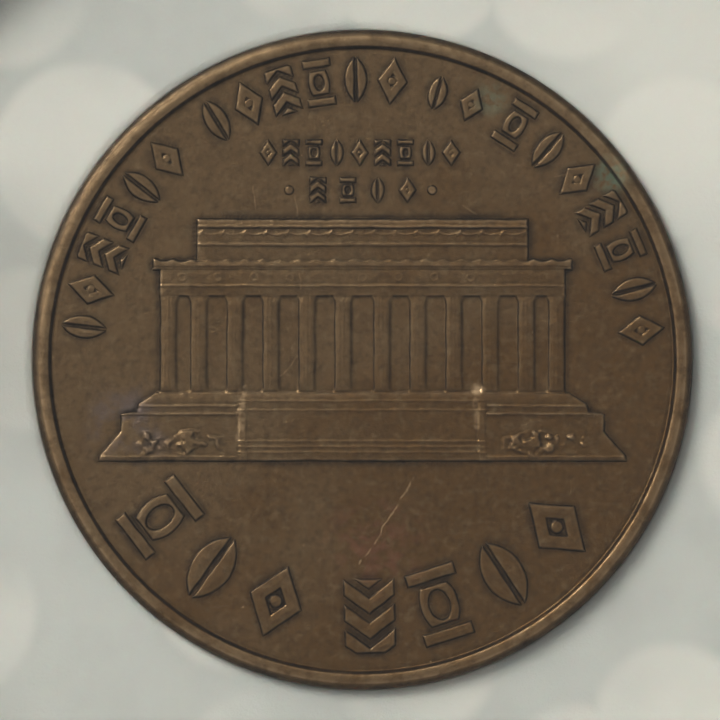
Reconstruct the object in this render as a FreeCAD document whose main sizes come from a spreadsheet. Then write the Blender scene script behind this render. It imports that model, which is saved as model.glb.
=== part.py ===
import FreeCAD, Part
import math
import os
import Sketcher

# A graded coin slab: a sealed two-shell display case that holds one small copper coin.
#
# The slab lies flat on its back ridge, as it rests when it is left alone. Its front faces +Z, the
# label end is towards +Y, and the origin is under its middle, on the level that the ridge rests on.
# A body's own XY plane is the slab's mid-plane, where the two shells meet.

SIZES = {
    # the case, over its outside
    "case_width": 60.3,
    "case_height": 85.7,
    "case_corner": 4.5,
    "panel": 1.5,
    "wall": 2.4,
    "cavity_depth": 3.7,
    "edge_round": 0.45,
    "seam_chamfer": 0.15,
    # the stacking rim on the front and the ridge on the back that nests in another slab's rim
    "rim_width": 2.8,
    "rim_height": 0.6,
    "ridge_width": 1.8,
    "ridge_height": 0.6,
    "ridge_inner_corner": 0.8,
    "ridge_round": 0.2,
    "nest_gap": 0.2,
    # the welded joint between the shells
    "tongue_width": 0.8,
    "tongue_height": 0.5,
    "tongue_gap": 0.03,
    # the locating pegs
    "peg_diameter": 1.6,
    "peg_gap": 0.1,
    "peg_inset": 3.0,
    "peg_drop": 5.5,
    # the core
    "core_gap": 0.25,
    "label_height": 19.5,
    "label_side_margin": 1.5,
    "label_top_margin": 2.5,
    "label_corner": 0.8,
    "label_thickness": 0.3,
    "label_gap": 0.2,
    "label_cover_gap": 0.05,
    "seal_diameter": 13.0,
    "seal_thickness": 0.08,
    "seal_inset": 10.0,
    # the gasket
    "gasket_diameter": 34.0,
    "gasket_gap": 0.1,
    "gasket_rim": 1.4,
    "gasket_web": 0.5,
    # the coin
    "coin_diameter": 19.05,
    "coin_thickness": 1.52,
    "coin_rim_width": 0.5,
    "coin_bevel": 0.16,
    "field_depth": 0.2,
    "field_slope": 0.12,
    # the coin's artwork, drawn for a field of this radius and scaled to the real one
    "art_radius": 9.025,
    "wall_relief": 0.05,
    "terrace_relief": 0.1,
    "stair_relief": 0.12,
    "order_relief": 0.14,
    "mark_relief": 0.12,
    "colonnade_half_width": 5.86,
    "colonnade_foot": 0.95,
    "colonnade_head": 2.11,
    "column_count": 12.0,
    "column_width": 0.5,
    "frieze_head": 2.6,
    "cornice_half_width": 6.07,
    "cornice_head": 2.85,
    "attic_half_width": 4.78,
    "attic_head": 4.05,
    "terrace_foot": 2.92,
    "terrace_half_width": 7.6,
    "terrace_bench": 2.02,
    "terrace_bench_half_width": 6.96,
    "terrace_step": 1.4,
    "terrace_step_half_width": 6.5,
    "stair_half_width": 3.43,
    "stair_head": 1.45,
}

# Bands of relief marks round the coin's front field. Each is a row of lozenges: its inner radius,
# its height, one lozenge's width, the first lozenge's angle from +X, the turn to the next, and how
# many there are.
ARC_BANDS = {
    "upper_left_outer": (7.4, 1.35, 0.62, 173.2, -7.8, 6),
    "upper_left_inner": (7.4, 1.35, 0.62, 121.4, -7.5, 6),
    "upper_right_inner": (7.4, 0.95, 0.5, 74.3, -7.4, 2),
    "upper_right_outer": (7.4, 1.35, 0.62, 57.1, -8.5, 7),
    "lower_left": (6.3, 2.1, 1.2, 217.8, 16.2, 3),
    "lower_right": (6.3, 2.1, 1.2, 271.6, 15.9, 4),
}

# Straight rows of lozenges above the building: the height of the row's middle, a lozenge's height
# and width, the first lozenge's place along X, the step to the next, and how many there are.
STRAIGHT_BANDS = {
    "motto_upper": (6.0, 0.78, 0.42, -2.75, 0.66, 9),
    "motto_lower": (4.92, 0.74, 0.42, -1.3, 0.84, 4),
}

# Rings of leaves on the coin's back field: the inner radius, a leaf's length and width, the number.
LEAF_RINGS = {
    "wreath_outer": (6.6, 1.5, 0.9, 24),
    "wreath_inner": (4.9, 1.4, 0.8, 18),
    "rosette": (0.9, 2.9, 1.3, 8),
}

doc = FreeCAD.newDocument("graded_coin_slab")
sheet = doc.addObject("Spreadsheet::Sheet", "Sizes")


def fill_sheet():
    """Write every driving size to the sheet, one a row, with its name as the alias."""
    rows = list(SIZES.items())
    for table, words in (
        (ARC_BANDS, ("radius", "height", "width", "angle", "turn", "count")),
        (STRAIGHT_BANDS, ("level", "height", "width", "start", "step", "count")),
        (LEAF_RINGS, ("radius", "height", "width", "count")),
    ):
        for band, values in table.items():
            rows += [(f"{band}_{word}", value) for word, value in zip(words, values)]
    for row, (name, value) in enumerate(rows, start=1):
        sheet.set(f"A{row}", name)
        sheet.set(f"B{row}", str(value))
        sheet.setAlias(f"B{row}", name)
    doc.recompute()


def size(name):
    """The expression for one of the sheet's sizes."""
    return f"Sizes.{name}"


def number(expression):
    """The present value of an expression over the sheet."""
    return float(sheet.evalExpression(expression.replace("Sizes.", "")))


# ---- sizes that follow from the driving ones -------------------------------------------------

HALF_WIDTH = "Sizes.case_width / 2"
HALF_HEIGHT = "Sizes.case_height / 2"
HALF_CAVITY = "Sizes.cavity_depth / 2"
HALF_DEPTH = f"({HALF_CAVITY} + Sizes.panel)"
CORE_INSET = "(Sizes.wall + Sizes.core_gap)"
LABEL_INSET = f"({CORE_INSET} + Sizes.label_side_margin)"
LABEL_TOP = f"({HALF_HEIGHT} - {CORE_INSET} - Sizes.label_top_margin)"
LABEL_FOOT = f"({LABEL_TOP} - Sizes.label_height)"
LABEL_MIDDLE = f"({LABEL_TOP} - Sizes.label_height / 2)"
FRONT_POCKET = "(Sizes.label_thickness + Sizes.label_cover_gap)"
BACK_POCKET = "(Sizes.label_thickness + Sizes.seal_thickness + Sizes.label_cover_gap)"
COIN_MIDDLE = f"(({LABEL_FOOT} - {HALF_HEIGHT} + {CORE_INSET}) / 2)"
PEG_X = f"({HALF_WIDTH} - {CORE_INSET} - Sizes.peg_inset)"
PEG_LOW = f"({CORE_INSET} + Sizes.peg_inset - {HALF_HEIGHT})"
PEG_HIGH = f"({LABEL_FOOT} - Sizes.peg_drop)"
COIN_RADIUS = "(Sizes.coin_diameter / 2)"
FIELD_LEVEL = "(Sizes.coin_thickness / 2 - Sizes.field_depth)"
ART_SCALE = f"(({COIN_RADIUS} - Sizes.coin_rim_width) / Sizes.art_radius)"


def art(name):
    """A size of the coin's artwork, scaled to the coin's real field."""
    return f"(Sizes.{name} * {ART_SCALE})"


# ---- sketches --------------------------------------------------------------------------------


def new_body(name, middle="0"):
    """A body whose own origin is on the mid-plane, at the given place up the slab."""
    body = doc.addObject("PartDesign::Body", name)
    body.Label = name
    body.setExpression("Placement.Base.y", middle)
    body.setExpression("Placement.Base.z", f"{HALF_DEPTH} + Sizes.ridge_height")
    return body


def new_sketch(body, name, level="0", turn=None, plane="XY_Plane"):
    """A sketch on one of the body's own planes, lifted to a level and turned about its normal."""
    sketch = body.newObject("Sketcher::SketchObject", name)
    support = [each for each in body.Origin.OriginFeatures if each.Role == plane][0]
    sketch.AttachmentSupport = [(support, "")]
    sketch.MapMode = "FlatFace"
    if level != "0":
        sketch.setExpression("AttachmentOffset.Base.z", level)
    if turn is not None:
        sketch.setExpression("AttachmentOffset.Rotation.Angle", turn)
    return sketch


def bind(sketch, kind, *where):
    """Add one constraint. The last item is the expression that gives its value."""
    *items, expression = where
    index = sketch.addConstraint(Sketcher.Constraint(kind, *items, number(expression)))
    sketch.setExpression(f"Constraints[{index}]", expression)


def hold_point(sketch, line, end, x, y):
    """Hold one point at an x and a y, each an expression. "0" holds it on the axis itself."""
    for kind, axis, expression in (("DistanceX", -2, x), ("DistanceY", -1, y)):
        if expression == "0":
            sketch.addConstraint(Sketcher.Constraint("PointOnObject", line, end, axis))
        else:
            bind(sketch, kind, -1, 1, line, end, expression)


def draw_polygon(sketch, points):
    """A closed outline through points, each a pair of expressions."""
    places = [FreeCAD.Vector(number(x), number(y), 0) for x, y in points]
    lines = [
        sketch.addGeometry(Part.LineSegment(place, places[(i + 1) % len(places)]))
        for i, place in enumerate(places)
    ]
    for i, line in enumerate(lines):
        sketch.addConstraint(
            Sketcher.Constraint("Coincident", line, 2, lines[(i + 1) % len(lines)], 1)
        )
        hold_point(sketch, line, 1, *points[i])


def draw_box(sketch, half_width, foot, head):
    """A rectangle about the Y axis from one height to another."""
    draw_polygon(
        sketch,
        [
            (f"-{half_width}", foot),
            (half_width, foot),
            (half_width, head),
            (f"-{half_width}", head),
        ],
    )


def draw_circle(sketch, radius, x="0", y="0"):
    """A circle at a place, all as expressions."""
    place = FreeCAD.Vector(number(x), number(y), 0)
    circle = sketch.addGeometry(
        Part.Circle(place, FreeCAD.Vector(0, 0, 1), number(radius))
    )
    hold_point(sketch, circle, 3, x, y)
    bind(sketch, "Radius", circle, radius)


def draw_panel(sketch, half_width, foot, head, corner):
    """A rectangle with rounded corners about the Y axis, from one height to another."""
    low, high = number(foot) + number(corner), number(head) - number(corner)
    reach, round_size = number(half_width) - number(corner), number(corner)
    quarters = ((reach, high, 0), (-reach, high, 90), (-reach, low, 180), (reach, low, 270))
    axis = FreeCAD.Vector(0, 0, 1)
    arcs = []
    for x, y, start in quarters:
        circle = Part.Circle(FreeCAD.Vector(x, y, 0), axis, round_size)
        first, last = math.radians(start), math.radians(start + 90)
        arcs.append(sketch.addGeometry(Part.ArcOfCircle(circle, first, last)))
    for i, arc in enumerate(arcs):
        following = arcs[(i + 1) % 4]
        ends = [sketch.getPoint(arc, 2), sketch.getPoint(following, 1)]
        line = sketch.addGeometry(Part.LineSegment(*ends))
        sketch.addConstraint(Sketcher.Constraint("Tangent", arc, 2, line, 1))
        sketch.addConstraint(Sketcher.Constraint("Tangent", line, 2, following, 1))
    for arc, (x, y, _) in zip(arcs, quarters):
        side = f"({half_width} - {corner})"
        level = f"({head} - {corner})" if y == high else f"({foot} + {corner})"
        bind(sketch, "DistanceX", -1, 1, arc, 3, side if x > 0 else f"-{side}")
        bind(sketch, "DistanceY", -1, 1, arc, 3, level)
        bind(sketch, "Radius", arc, corner)


def draw_case_outline(sketch, inset="0", corner=None):
    """The case's outline, moved in by an inset. Its corners shrink with the inset unless given."""
    draw_panel(
        sketch,
        f"({HALF_WIDTH} - {inset})",
        f"-({HALF_HEIGHT} - {inset})",
        f"({HALF_HEIGHT} - {inset})",
        corner or f"(Sizes.case_corner - {inset})",
    )


# ---- features --------------------------------------------------------------------------------


def pad(body, name, sketch, length, down=False):
    """Add material over a sketch, up or down."""
    feature = body.newObject("PartDesign::Pad", name)
    feature.Profile = sketch
    feature.setExpression("Length", length)
    feature.Reversed = down
    doc.recompute()
    return feature


def pocket(body, name, sketch, depth, up=False):
    """Cut material away under a sketch, or over it, and make sure that some went."""
    before = body.Shape.Volume
    feature = body.newObject("PartDesign::Pocket", name)
    feature.Profile = sketch
    feature.setExpression("Length", depth)
    feature.Reversed = up
    doc.recompute()
    if body.Shape.Volume >= before:
        raise RuntimeError(f"{body.Label}: {name} cut nothing")
    return feature


def edges_at(shape, level, inset_less_than=None):
    """Names of the edges that lie at one level, or only those within an inset of the outline."""
    outline = shape.BoundBox
    names = []
    for index, edge in enumerate(shape.Edges, start=1):
        box = edge.BoundBox
        if max(abs(box.ZMin - level), abs(box.ZMax - level)) > 1e-4:
            continue
        inset = min(
            box.XMin - outline.XMin,
            outline.XMax - box.XMax,
            box.YMin - outline.YMin,
            outline.YMax - box.YMax,
        )
        if inset_less_than is None or inset < inset_less_than:
            names.append(f"Edge{index}")
    return names


def dress(body, kind, name, base, edges, **values):
    """Round or chamfer edges. Each value is an expression for a size of the feature."""
    feature = body.newObject(f"PartDesign::{kind}", name)
    feature.Base = (base, edges)
    for key, expression in values.items():
        feature.setExpression(key, expression)
    doc.recompute()
    return feature


def repeat_round(body, name, original, sketch, turn, count):
    """Repeat a feature about the body's axis, by a signed turn from each one to the next."""
    feature = body.newObject("PartDesign::PolarPattern", name)
    feature.Originals = [original]
    feature.Axis = (sketch, ["N_Axis"])
    feature.Reversed = number(turn) < 0
    feature.setExpression("Angle", f"abs({turn}) * ({count} - 1)")
    feature.setExpression("Occurrences", count)
    body.Tip = feature
    doc.recompute()
    return feature


def repeat_along(body, name, original, sketch, span, count):
    """Repeat a feature along its sketch's own X axis, over a span from first to last."""
    feature = body.newObject("PartDesign::LinearPattern", name)
    feature.Originals = [original]
    feature.Direction = (sketch, ["H_Axis"])
    feature.setExpression("Length", span)
    feature.setExpression("Occurrences", count)
    body.Tip = feature
    doc.recompute()
    return feature


# ---- the case --------------------------------------------------------------------------------

TONGUE_INSET = "((Sizes.wall - Sizes.tongue_width) / 2)"
PEG_PLACES = {
    "lower_left": (f"-{PEG_X}", PEG_LOW),
    "lower_right": (PEG_X, PEG_LOW),
    "upper_left": (f"-{PEG_X}", PEG_HIGH),
    "upper_right": (PEG_X, PEG_HIGH),
}


def build_front_shell():
    """The clear front half: panel, walls, stacking rim, and the tongue that is welded."""
    body = new_body("front_shell")
    outline = new_sketch(body, "front_outline")
    draw_case_outline(outline)
    face = f"({HALF_DEPTH} + Sizes.rim_height)"
    pad(body, "front_block", outline, face)

    window = new_sketch(body, "front_window_outline", face)
    draw_case_outline(window, size("rim_width"))
    pocket(body, "front_window", window, size("rim_height"))

    cavity = new_sketch(body, "front_cavity_outline")
    draw_case_outline(cavity, size("wall"))
    pocket(body, "front_cavity", cavity, HALF_CAVITY, up=True)

    tongue = new_sketch(body, "tongue_outline")
    draw_case_outline(tongue, TONGUE_INSET)
    draw_case_outline(tongue, f"({TONGUE_INSET} + Sizes.tongue_width)")
    welded = pad(body, "tongue", tongue, size("tongue_height"), down=True)

    rounds = edges_at(welded.Shape, number(face))
    rounded = dress(body, "Fillet", "rim_round", welded, rounds, Radius=size("edge_round"))
    seam = edges_at(rounded.Shape, 0.0, number(TONGUE_INSET) / 2)
    dress(body, "Chamfer", "front_seam", rounded, seam, Size=size("seam_chamfer"))


def build_back_shell():
    """The clear back half: panel, walls, stacking ridge, weld groove and locating pegs."""
    body = new_body("back_shell")
    outline = new_sketch(body, "back_outline")
    draw_case_outline(outline)
    pad(body, "back_block", outline, HALF_DEPTH, down=True)

    cavity = new_sketch(body, "back_cavity_outline")
    draw_case_outline(cavity, size("wall"))
    pocket(body, "back_cavity", cavity, HALF_CAVITY)

    groove = new_sketch(body, "groove_outline")
    draw_case_outline(groove, f"({TONGUE_INSET} - Sizes.tongue_gap)")
    draw_case_outline(groove, f"({TONGUE_INSET} + Sizes.tongue_width + Sizes.tongue_gap)")
    pocket(body, "groove", groove, "Sizes.tongue_height + Sizes.tongue_gap")

    pegs = new_sketch(body, "peg_outline", f"-{HALF_CAVITY}")
    for x, y in PEG_PLACES.values():
        draw_circle(pegs, "Sizes.peg_diameter / 2", x, y)
    pad(body, "pegs", pegs, "Sizes.cavity_depth - Sizes.peg_gap")

    ridge_inset = "(Sizes.rim_width + Sizes.nest_gap)"
    ridge = new_sketch(body, "ridge_outline", f"-{HALF_DEPTH}")
    draw_case_outline(ridge, ridge_inset)
    draw_case_outline(
        ridge, f"({ridge_inset} + Sizes.ridge_width)", size("ridge_inner_corner")
    )
    ridged = pad(body, "ridge", ridge, size("ridge_height"), down=True)

    crest = edges_at(ridged.Shape, -number(f"{HALF_DEPTH} + Sizes.ridge_height"))
    crested = dress(body, "Fillet", "ridge_crest", ridged, crest, Radius=size("ridge_round"))
    rounds = edges_at(crested.Shape, -number(HALF_DEPTH), number("Sizes.rim_width / 2"))
    rounded = dress(body, "Fillet", "back_round", crested, rounds, Radius=size("edge_round"))
    seam = edges_at(rounded.Shape, 0.0, number(TONGUE_INSET) / 2)
    dress(body, "Chamfer", "back_seam", rounded, seam, Size=size("seam_chamfer"))


# ---- what the case holds ---------------------------------------------------------------------


def build_core():
    """The plate that fills the case: bore for the gasket, label pockets and peg holes."""
    body = new_body("core_insert")
    outline = new_sketch(body, "core_outline", f"-{HALF_CAVITY}")
    draw_case_outline(outline, CORE_INSET)
    pad(body, "core_plate", outline, size("cavity_depth"))

    holes = new_sketch(body, "core_holes", HALF_CAVITY)
    draw_circle(holes, "Sizes.gasket_diameter / 2 + Sizes.gasket_gap", "0", COIN_MIDDLE)
    for x, y in PEG_PLACES.values():
        draw_circle(holes, "Sizes.peg_diameter / 2 + Sizes.peg_gap", x, y)
    pocket(body, "core_bores", holes, size("cavity_depth"))

    for side, level, depth, up in (
        ("front", HALF_CAVITY, FRONT_POCKET, False),
        ("back", f"-{HALF_CAVITY}", BACK_POCKET, True),
    ):
        label = new_sketch(body, f"{side}_label_outline", level)
        draw_label(label, size("label_gap"))
        pocket(body, f"{side}_label_pocket", label, depth, up=up)


def draw_label(sketch, gap="0", middle="0"):
    """A label's outline, grown by a gap, about its own middle's height above the sketch's."""
    draw_panel(
        sketch,
        f"({HALF_WIDTH} - {LABEL_INSET} + {gap})",
        f"({LABEL_FOOT} - {gap} - {middle})",
        f"({LABEL_TOP} + {gap} - {middle})",
        f"(Sizes.label_corner + {gap})",
    )


def build_labels():
    """The two printed cards, each on the floor of its pocket."""
    for name, level, down in (
        ("front_label", f"({HALF_CAVITY} - {FRONT_POCKET})", False),
        ("back_label", f"-({HALF_CAVITY} - {BACK_POCKET})", True),
    ):
        body = new_body(name, LABEL_MIDDLE)
        card = new_sketch(body, f"{name}_outline", level)
        draw_label(card, middle=LABEL_MIDDLE)
        pad(body, f"{name}_card", card, size("label_thickness"), down=down)


def build_seal():
    """The round foil seal on the back label."""
    body = new_body("hologram_seal", LABEL_MIDDLE)
    level = f"-({HALF_CAVITY} - {BACK_POCKET} + Sizes.label_thickness)"
    foil = new_sketch(body, "seal_outline", level)
    draw_circle(
        foil, "Sizes.seal_diameter / 2", f"({HALF_WIDTH} - {LABEL_INSET} - Sizes.seal_inset)", "0"
    )
    pad(body, "seal_foil", foil, size("seal_thickness"), down=True)


def build_gasket():
    """The soft ring that fills the bore, with the thin web that grips the coin's edge."""
    body = new_body("coin_gasket", COIN_MIDDLE)
    outer, web = "(Sizes.gasket_diameter / 2)", "(Sizes.gasket_web / 2)"
    inner = f"({outer} - Sizes.gasket_rim)"
    section = new_sketch(body, "gasket_section", plane="XZ_Plane")
    draw_polygon(
        section,
        [
            (COIN_RADIUS, f"-{web}"),
            (inner, f"-{web}"),
            (inner, f"-{HALF_CAVITY}"),
            (outer, f"-{HALF_CAVITY}"),
            (outer, HALF_CAVITY),
            (inner, HALF_CAVITY),
            (inner, web),
            (COIN_RADIUS, web),
        ],
    )
    ring = body.newObject("PartDesign::Revolution", "gasket_ring")
    ring.Profile = section
    ring.ReferenceAxis = (section, ["V_Axis"])
    ring.Angle = 360
    doc.recompute()


# ---- the coin --------------------------------------------------------------------------------


def build_coin():
    """The coin: a blank with raised rims, a building on its front and a wreath on its back."""
    body = new_body("coin", COIN_MIDDLE)
    strike_blank(body)
    strike_building(body)
    strike_arc_bands(body)
    strike_straight_bands(body)
    strike_wreath(body)


def strike_blank(body):
    """The blank, turned about its axis: field, inner slope, rim, bevel and edge on each side."""
    half = "(Sizes.coin_thickness / 2)"
    rim = f"({COIN_RADIUS} - Sizes.coin_rim_width)"
    upper = [
        ("0", FIELD_LEVEL),
        (f"({rim} - Sizes.field_slope)", FIELD_LEVEL),
        (rim, half),
        (f"({COIN_RADIUS} - Sizes.coin_bevel)", half),
        (COIN_RADIUS, f"({half} - Sizes.coin_bevel)"),
    ]
    lower = [(x, f"-{y}") for x, y in reversed(upper)]
    section = new_sketch(body, "blank_section", plane="XZ_Plane")
    draw_polygon(section, upper + lower)
    blank = body.newObject("PartDesign::Revolution", "blank")
    blank.Profile = section
    blank.ReferenceAxis = (section, ["V_Axis"])
    blank.Angle = 360
    doc.recompute()


def strike_building(body):
    """A columned hall: back wall, terrace, stairs, columns, frieze, cornice and attic."""
    foot = f"-{art('colonnade_foot')}"
    head = art("colonnade_head")
    blocks = {
        "hall_wall": ("wall_relief", "colonnade_half_width", foot, head),
        "frieze": ("order_relief", "colonnade_half_width", head, art("frieze_head")),
        "cornice": (
            "order_relief", "cornice_half_width", art("frieze_head"), art("cornice_head"),
        ),
        "attic": ("stair_relief", "attic_half_width", art("cornice_head"), art("attic_head")),
        "stairs": (
            "stair_relief", "stair_half_width",
            f"-{art('terrace_foot')}", f"-{art('stair_head')}",
        ),
    }
    strike_terrace(body, foot)
    for name, (relief, half_width, low, high) in blocks.items():
        sketch = new_sketch(body, f"{name}_outline", FIELD_LEVEL)
        draw_box(sketch, art(half_width), low, high)
        pad(body, name, sketch, size(relief))

    sketch = new_sketch(body, "column_outline", FIELD_LEVEL)
    left, width = f"-{art('colonnade_half_width')}", art("column_width")
    draw_polygon(
        sketch,
        [(left, foot), (f"({left} + {width})", foot), (f"({left} + {width})", head), (left, head)],
    )
    column = pad(body, "column", sketch, size("order_relief"))
    span = f"2 * {art('colonnade_half_width')} - {width}"
    repeat_along(body, "columns", column, sketch, span, size("column_count"))


def strike_terrace(body, top):
    """The stepped terrace under the hall, a symmetrical stepped outline."""
    right = [
        (art("terrace_half_width"), f"-{art('terrace_foot')}"),
        (art("terrace_bench_half_width"), f"-{art('terrace_bench')}"),
        (art("terrace_bench_half_width"), f"-{art('terrace_step')}"),
        (art("terrace_step_half_width"), f"-{art('terrace_step')}"),
        (art("terrace_step_half_width"), top),
    ]
    left = [(f"-{x}", y) for x, y in reversed(right)]
    sketch = new_sketch(body, "terrace_outline", FIELD_LEVEL)
    draw_polygon(sketch, right + left)
    pad(body, "terrace", sketch, size("terrace_relief"))


def draw_lozenge(sketch, middle_x, middle_y, half_width, half_height):
    """A lozenge about a place, with its points on the sketch's two axes' directions."""
    draw_polygon(
        sketch,
        [
            (middle_x, f"({middle_y} - {half_height})"),
            (f"({middle_x} + {half_width})", middle_y),
            (middle_x, f"({middle_y} + {half_height})"),
            (f"({middle_x} - {half_width})", middle_y),
        ],
    )


def strike_arc_bands(body):
    """Rows of upright lozenges that follow the rim."""
    for band in ARC_BANDS:
        sketch = new_sketch(
            body, f"{band}_mark", FIELD_LEVEL, turn=f"Sizes.{band}_angle - 90"
        )
        middle = f"({art(f'{band}_radius')} + {art(f'{band}_height')} / 2)"
        half_height = f"({art(f'{band}_height')} / 2)"
        draw_lozenge(sketch, "0", middle, f"({art(f'{band}_width')} / 2)", half_height)
        mark = pad(body, f"{band}_first", sketch, size("mark_relief"))
        turn, count = size(f"{band}_turn"), size(f"{band}_count")
        repeat_round(body, band, mark, sketch, turn, count)


def strike_straight_bands(body):
    """Two straight rows of lozenges above the hall."""
    for band in STRAIGHT_BANDS:
        sketch = new_sketch(body, f"{band}_mark", FIELD_LEVEL)
        draw_lozenge(
            sketch,
            art(f"{band}_start"),
            art(f"{band}_level"),
            f"({art(f'{band}_width')} / 2)",
            f"({art(f'{band}_height')} / 2)",
        )
        mark = pad(body, f"{band}_first", sketch, size("mark_relief"))
        count = size(f"{band}_count")
        span = f"{art(f'{band}_step')} * ({count} - 1)"
        repeat_along(body, band, mark, sketch, span, count)


def strike_wreath(body):
    """Rings of leaves and a rosette on the back field."""
    for ring in LEAF_RINGS:
        sketch = new_sketch(body, f"{ring}_leaf", f"-{FIELD_LEVEL}")
        middle = f"({art(f'{ring}_radius')} + {art(f'{ring}_height')} / 2)"
        half_height = f"({art(f'{ring}_height')} / 2)"
        draw_lozenge(sketch, "0", middle, f"({art(f'{ring}_width')} / 2)", half_height)
        leaf = pad(body, f"{ring}_first", sketch, size("mark_relief"), down=True)
        count = size(f"{ring}_count")
        repeat_round(body, ring, leaf, sketch, f"360 / {count}", count)


# ---- the build -------------------------------------------------------------------------------


def check_document():
    """Stop if any object failed or any sub-part isn't one valid solid."""
    doc.recompute()
    for each in doc.Objects:
        if {"Invalid", "Error"} & set(each.State):
            raise RuntimeError(f"{each.Label} is {each.State}")
    for body in bodies():
        shape = body.Shape
        if shape.isNull() or not shape.isValid() or len(shape.Solids) != 1:
            raise RuntimeError(f"{body.Label} isn't one valid solid")
        print(f"{body.Label}: {shape.Volume:.2f} mm3")


def bodies():
    """The sub-parts of the document."""
    return [each for each in doc.Objects if each.isDerivedFrom("PartDesign::Body")]


fill_sheet()
build_front_shell()
build_back_shell()
build_core()
build_labels()
build_seal()
build_gasket()
build_coin()
check_document()

os.makedirs("parts", exist_ok=True)
for body in bodies():
    body.Shape.exportStep(f"parts/{body.Label}.step")
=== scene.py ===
import logging
import math
from dataclasses import dataclass, field
from enum import Enum

import bpy
import numpy as np
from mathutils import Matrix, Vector


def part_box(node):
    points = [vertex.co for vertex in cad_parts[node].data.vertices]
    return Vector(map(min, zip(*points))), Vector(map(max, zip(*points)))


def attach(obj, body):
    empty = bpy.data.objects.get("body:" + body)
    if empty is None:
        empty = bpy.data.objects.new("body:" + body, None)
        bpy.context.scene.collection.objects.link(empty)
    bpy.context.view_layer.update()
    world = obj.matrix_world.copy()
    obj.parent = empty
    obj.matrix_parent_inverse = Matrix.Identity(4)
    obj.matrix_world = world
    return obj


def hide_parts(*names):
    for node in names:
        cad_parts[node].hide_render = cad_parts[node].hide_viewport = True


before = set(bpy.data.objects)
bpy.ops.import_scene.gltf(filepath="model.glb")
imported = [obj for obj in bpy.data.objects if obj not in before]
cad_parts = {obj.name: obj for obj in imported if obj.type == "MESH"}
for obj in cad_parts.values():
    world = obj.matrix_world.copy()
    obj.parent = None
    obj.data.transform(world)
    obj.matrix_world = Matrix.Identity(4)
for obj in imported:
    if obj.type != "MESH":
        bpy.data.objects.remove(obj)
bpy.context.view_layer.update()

log = logging.getLogger("coin_slab")
MM = 0.001
TURN = 2 * math.pi
Colour = tuple[float, float, float]
Point = tuple[float, float, float]
Material = bpy.types.Material
Socket = bpy.types.NodeSocket


# ---- surfaces --------------------------------------------------------------------------------


@dataclass
class Surface:
    """A closed surface as whole arrays, in millimetres: points, four- and three-sided faces."""

    points: np.ndarray
    quads: np.ndarray
    triangles: np.ndarray = field(default_factory=lambda: np.zeros((0, 3), int))
    marks: dict[str, np.ndarray] = field(default_factory=dict)


def smooth_step(value: np.ndarray) -> np.ndarray:
    """Rise from 0 to 1 as 3t² - 2t³, with t the value held between 0 and 1."""
    held = np.clip(value, 0.0, 1.0)
    return held * held * (3.0 - 2.0 * held)


def grid_quads(rows: int, columns: int) -> np.ndarray:
    """Faces of a grid of points, row by row, anticlockwise where columns run +x and rows run +y.

    Args:
        rows: How many rows of points.
        columns: How many points in a row.

    Returns:
        One row of four point numbers for each face.
    """
    index = np.arange(rows * columns).reshape(rows, columns)
    near, far = index[:, :-1], index[:, 1:]
    return np.stack([near[:-1], far[:-1], far[1:], near[1:]], axis=-1).reshape(-1, 4)


def grid_border(rows: int, columns: int) -> np.ndarray:
    """The numbers of a grid's outermost points, once round, from the first along its row.

    Args:
        rows: How many rows of points.
        columns: How many points in a row.

    Returns:
        The points' numbers.
    """
    index = np.arange(rows * columns).reshape(rows, columns)
    return np.concatenate([index[0, :-1], index[:-1, -1], index[-1, :0:-1], index[:0:-1, 0]])


def ring_quads(chain: np.ndarray) -> np.ndarray:
    """Faces from each ring of points, one in a row, back to the ring before it.

    Args:
        chain: The numbers of the points.

    Returns:
        One row of four point numbers for each face.
    """
    after = np.roll(chain, -1, axis=1)
    return np.stack([chain[1:], after[1:], after[:-1], chain[:-1]], axis=-1).reshape(-1, 4)


def closed_tiles(
    x: np.ndarray, y: np.ndarray, height: np.ndarray, floor: float, **marks: np.ndarray
) -> Surface:
    """Close each tile of relief: its top as given, walls down to a floor, and a fan under it.

    Args:
        x: Points across, as (tiles, rows, columns).
        y: Points up, the same.
        height: The relief's height at each point.
        floor: The height of the hidden underside.
        **marks: Values for each top point, kept as attributes.

    Returns:
        One surface that holds every tile.
    """
    tiles, rows, columns = x.shape
    loop = grid_border(rows, columns)
    count, top_count = len(loop), rows * columns
    flat = np.stack([x, y, height], axis=-1).reshape(tiles, top_count, 3)
    under = flat[:, loop].copy()
    under[..., 2] = floor
    middle = under.mean(axis=1, keepdims=True)
    points = np.concatenate([flat, under, middle], axis=1)
    low = top_count + np.arange(count)
    low_next, loop_next = np.roll(low, -1), np.roll(loop, -1)
    walls = np.stack([low, low_next, loop_next, loop], axis=-1)
    fan = np.stack([np.full(count, top_count + count), low_next, low], axis=-1)
    quads = np.concatenate([grid_quads(rows, columns), walls])
    shift = (np.arange(tiles) * points.shape[1])[:, None, None]
    spread = {
        name: np.concatenate(
            [value.reshape(tiles, -1), np.zeros((tiles, count + 1))], axis=1
        ).ravel()
        for name, value in marks.items()
    }
    return Surface(
        points.reshape(-1, 3),
        (quads[None] + shift).reshape(-1, 4),
        (fan[None] + shift).reshape(-1, 3),
        spread,
    )


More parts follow.
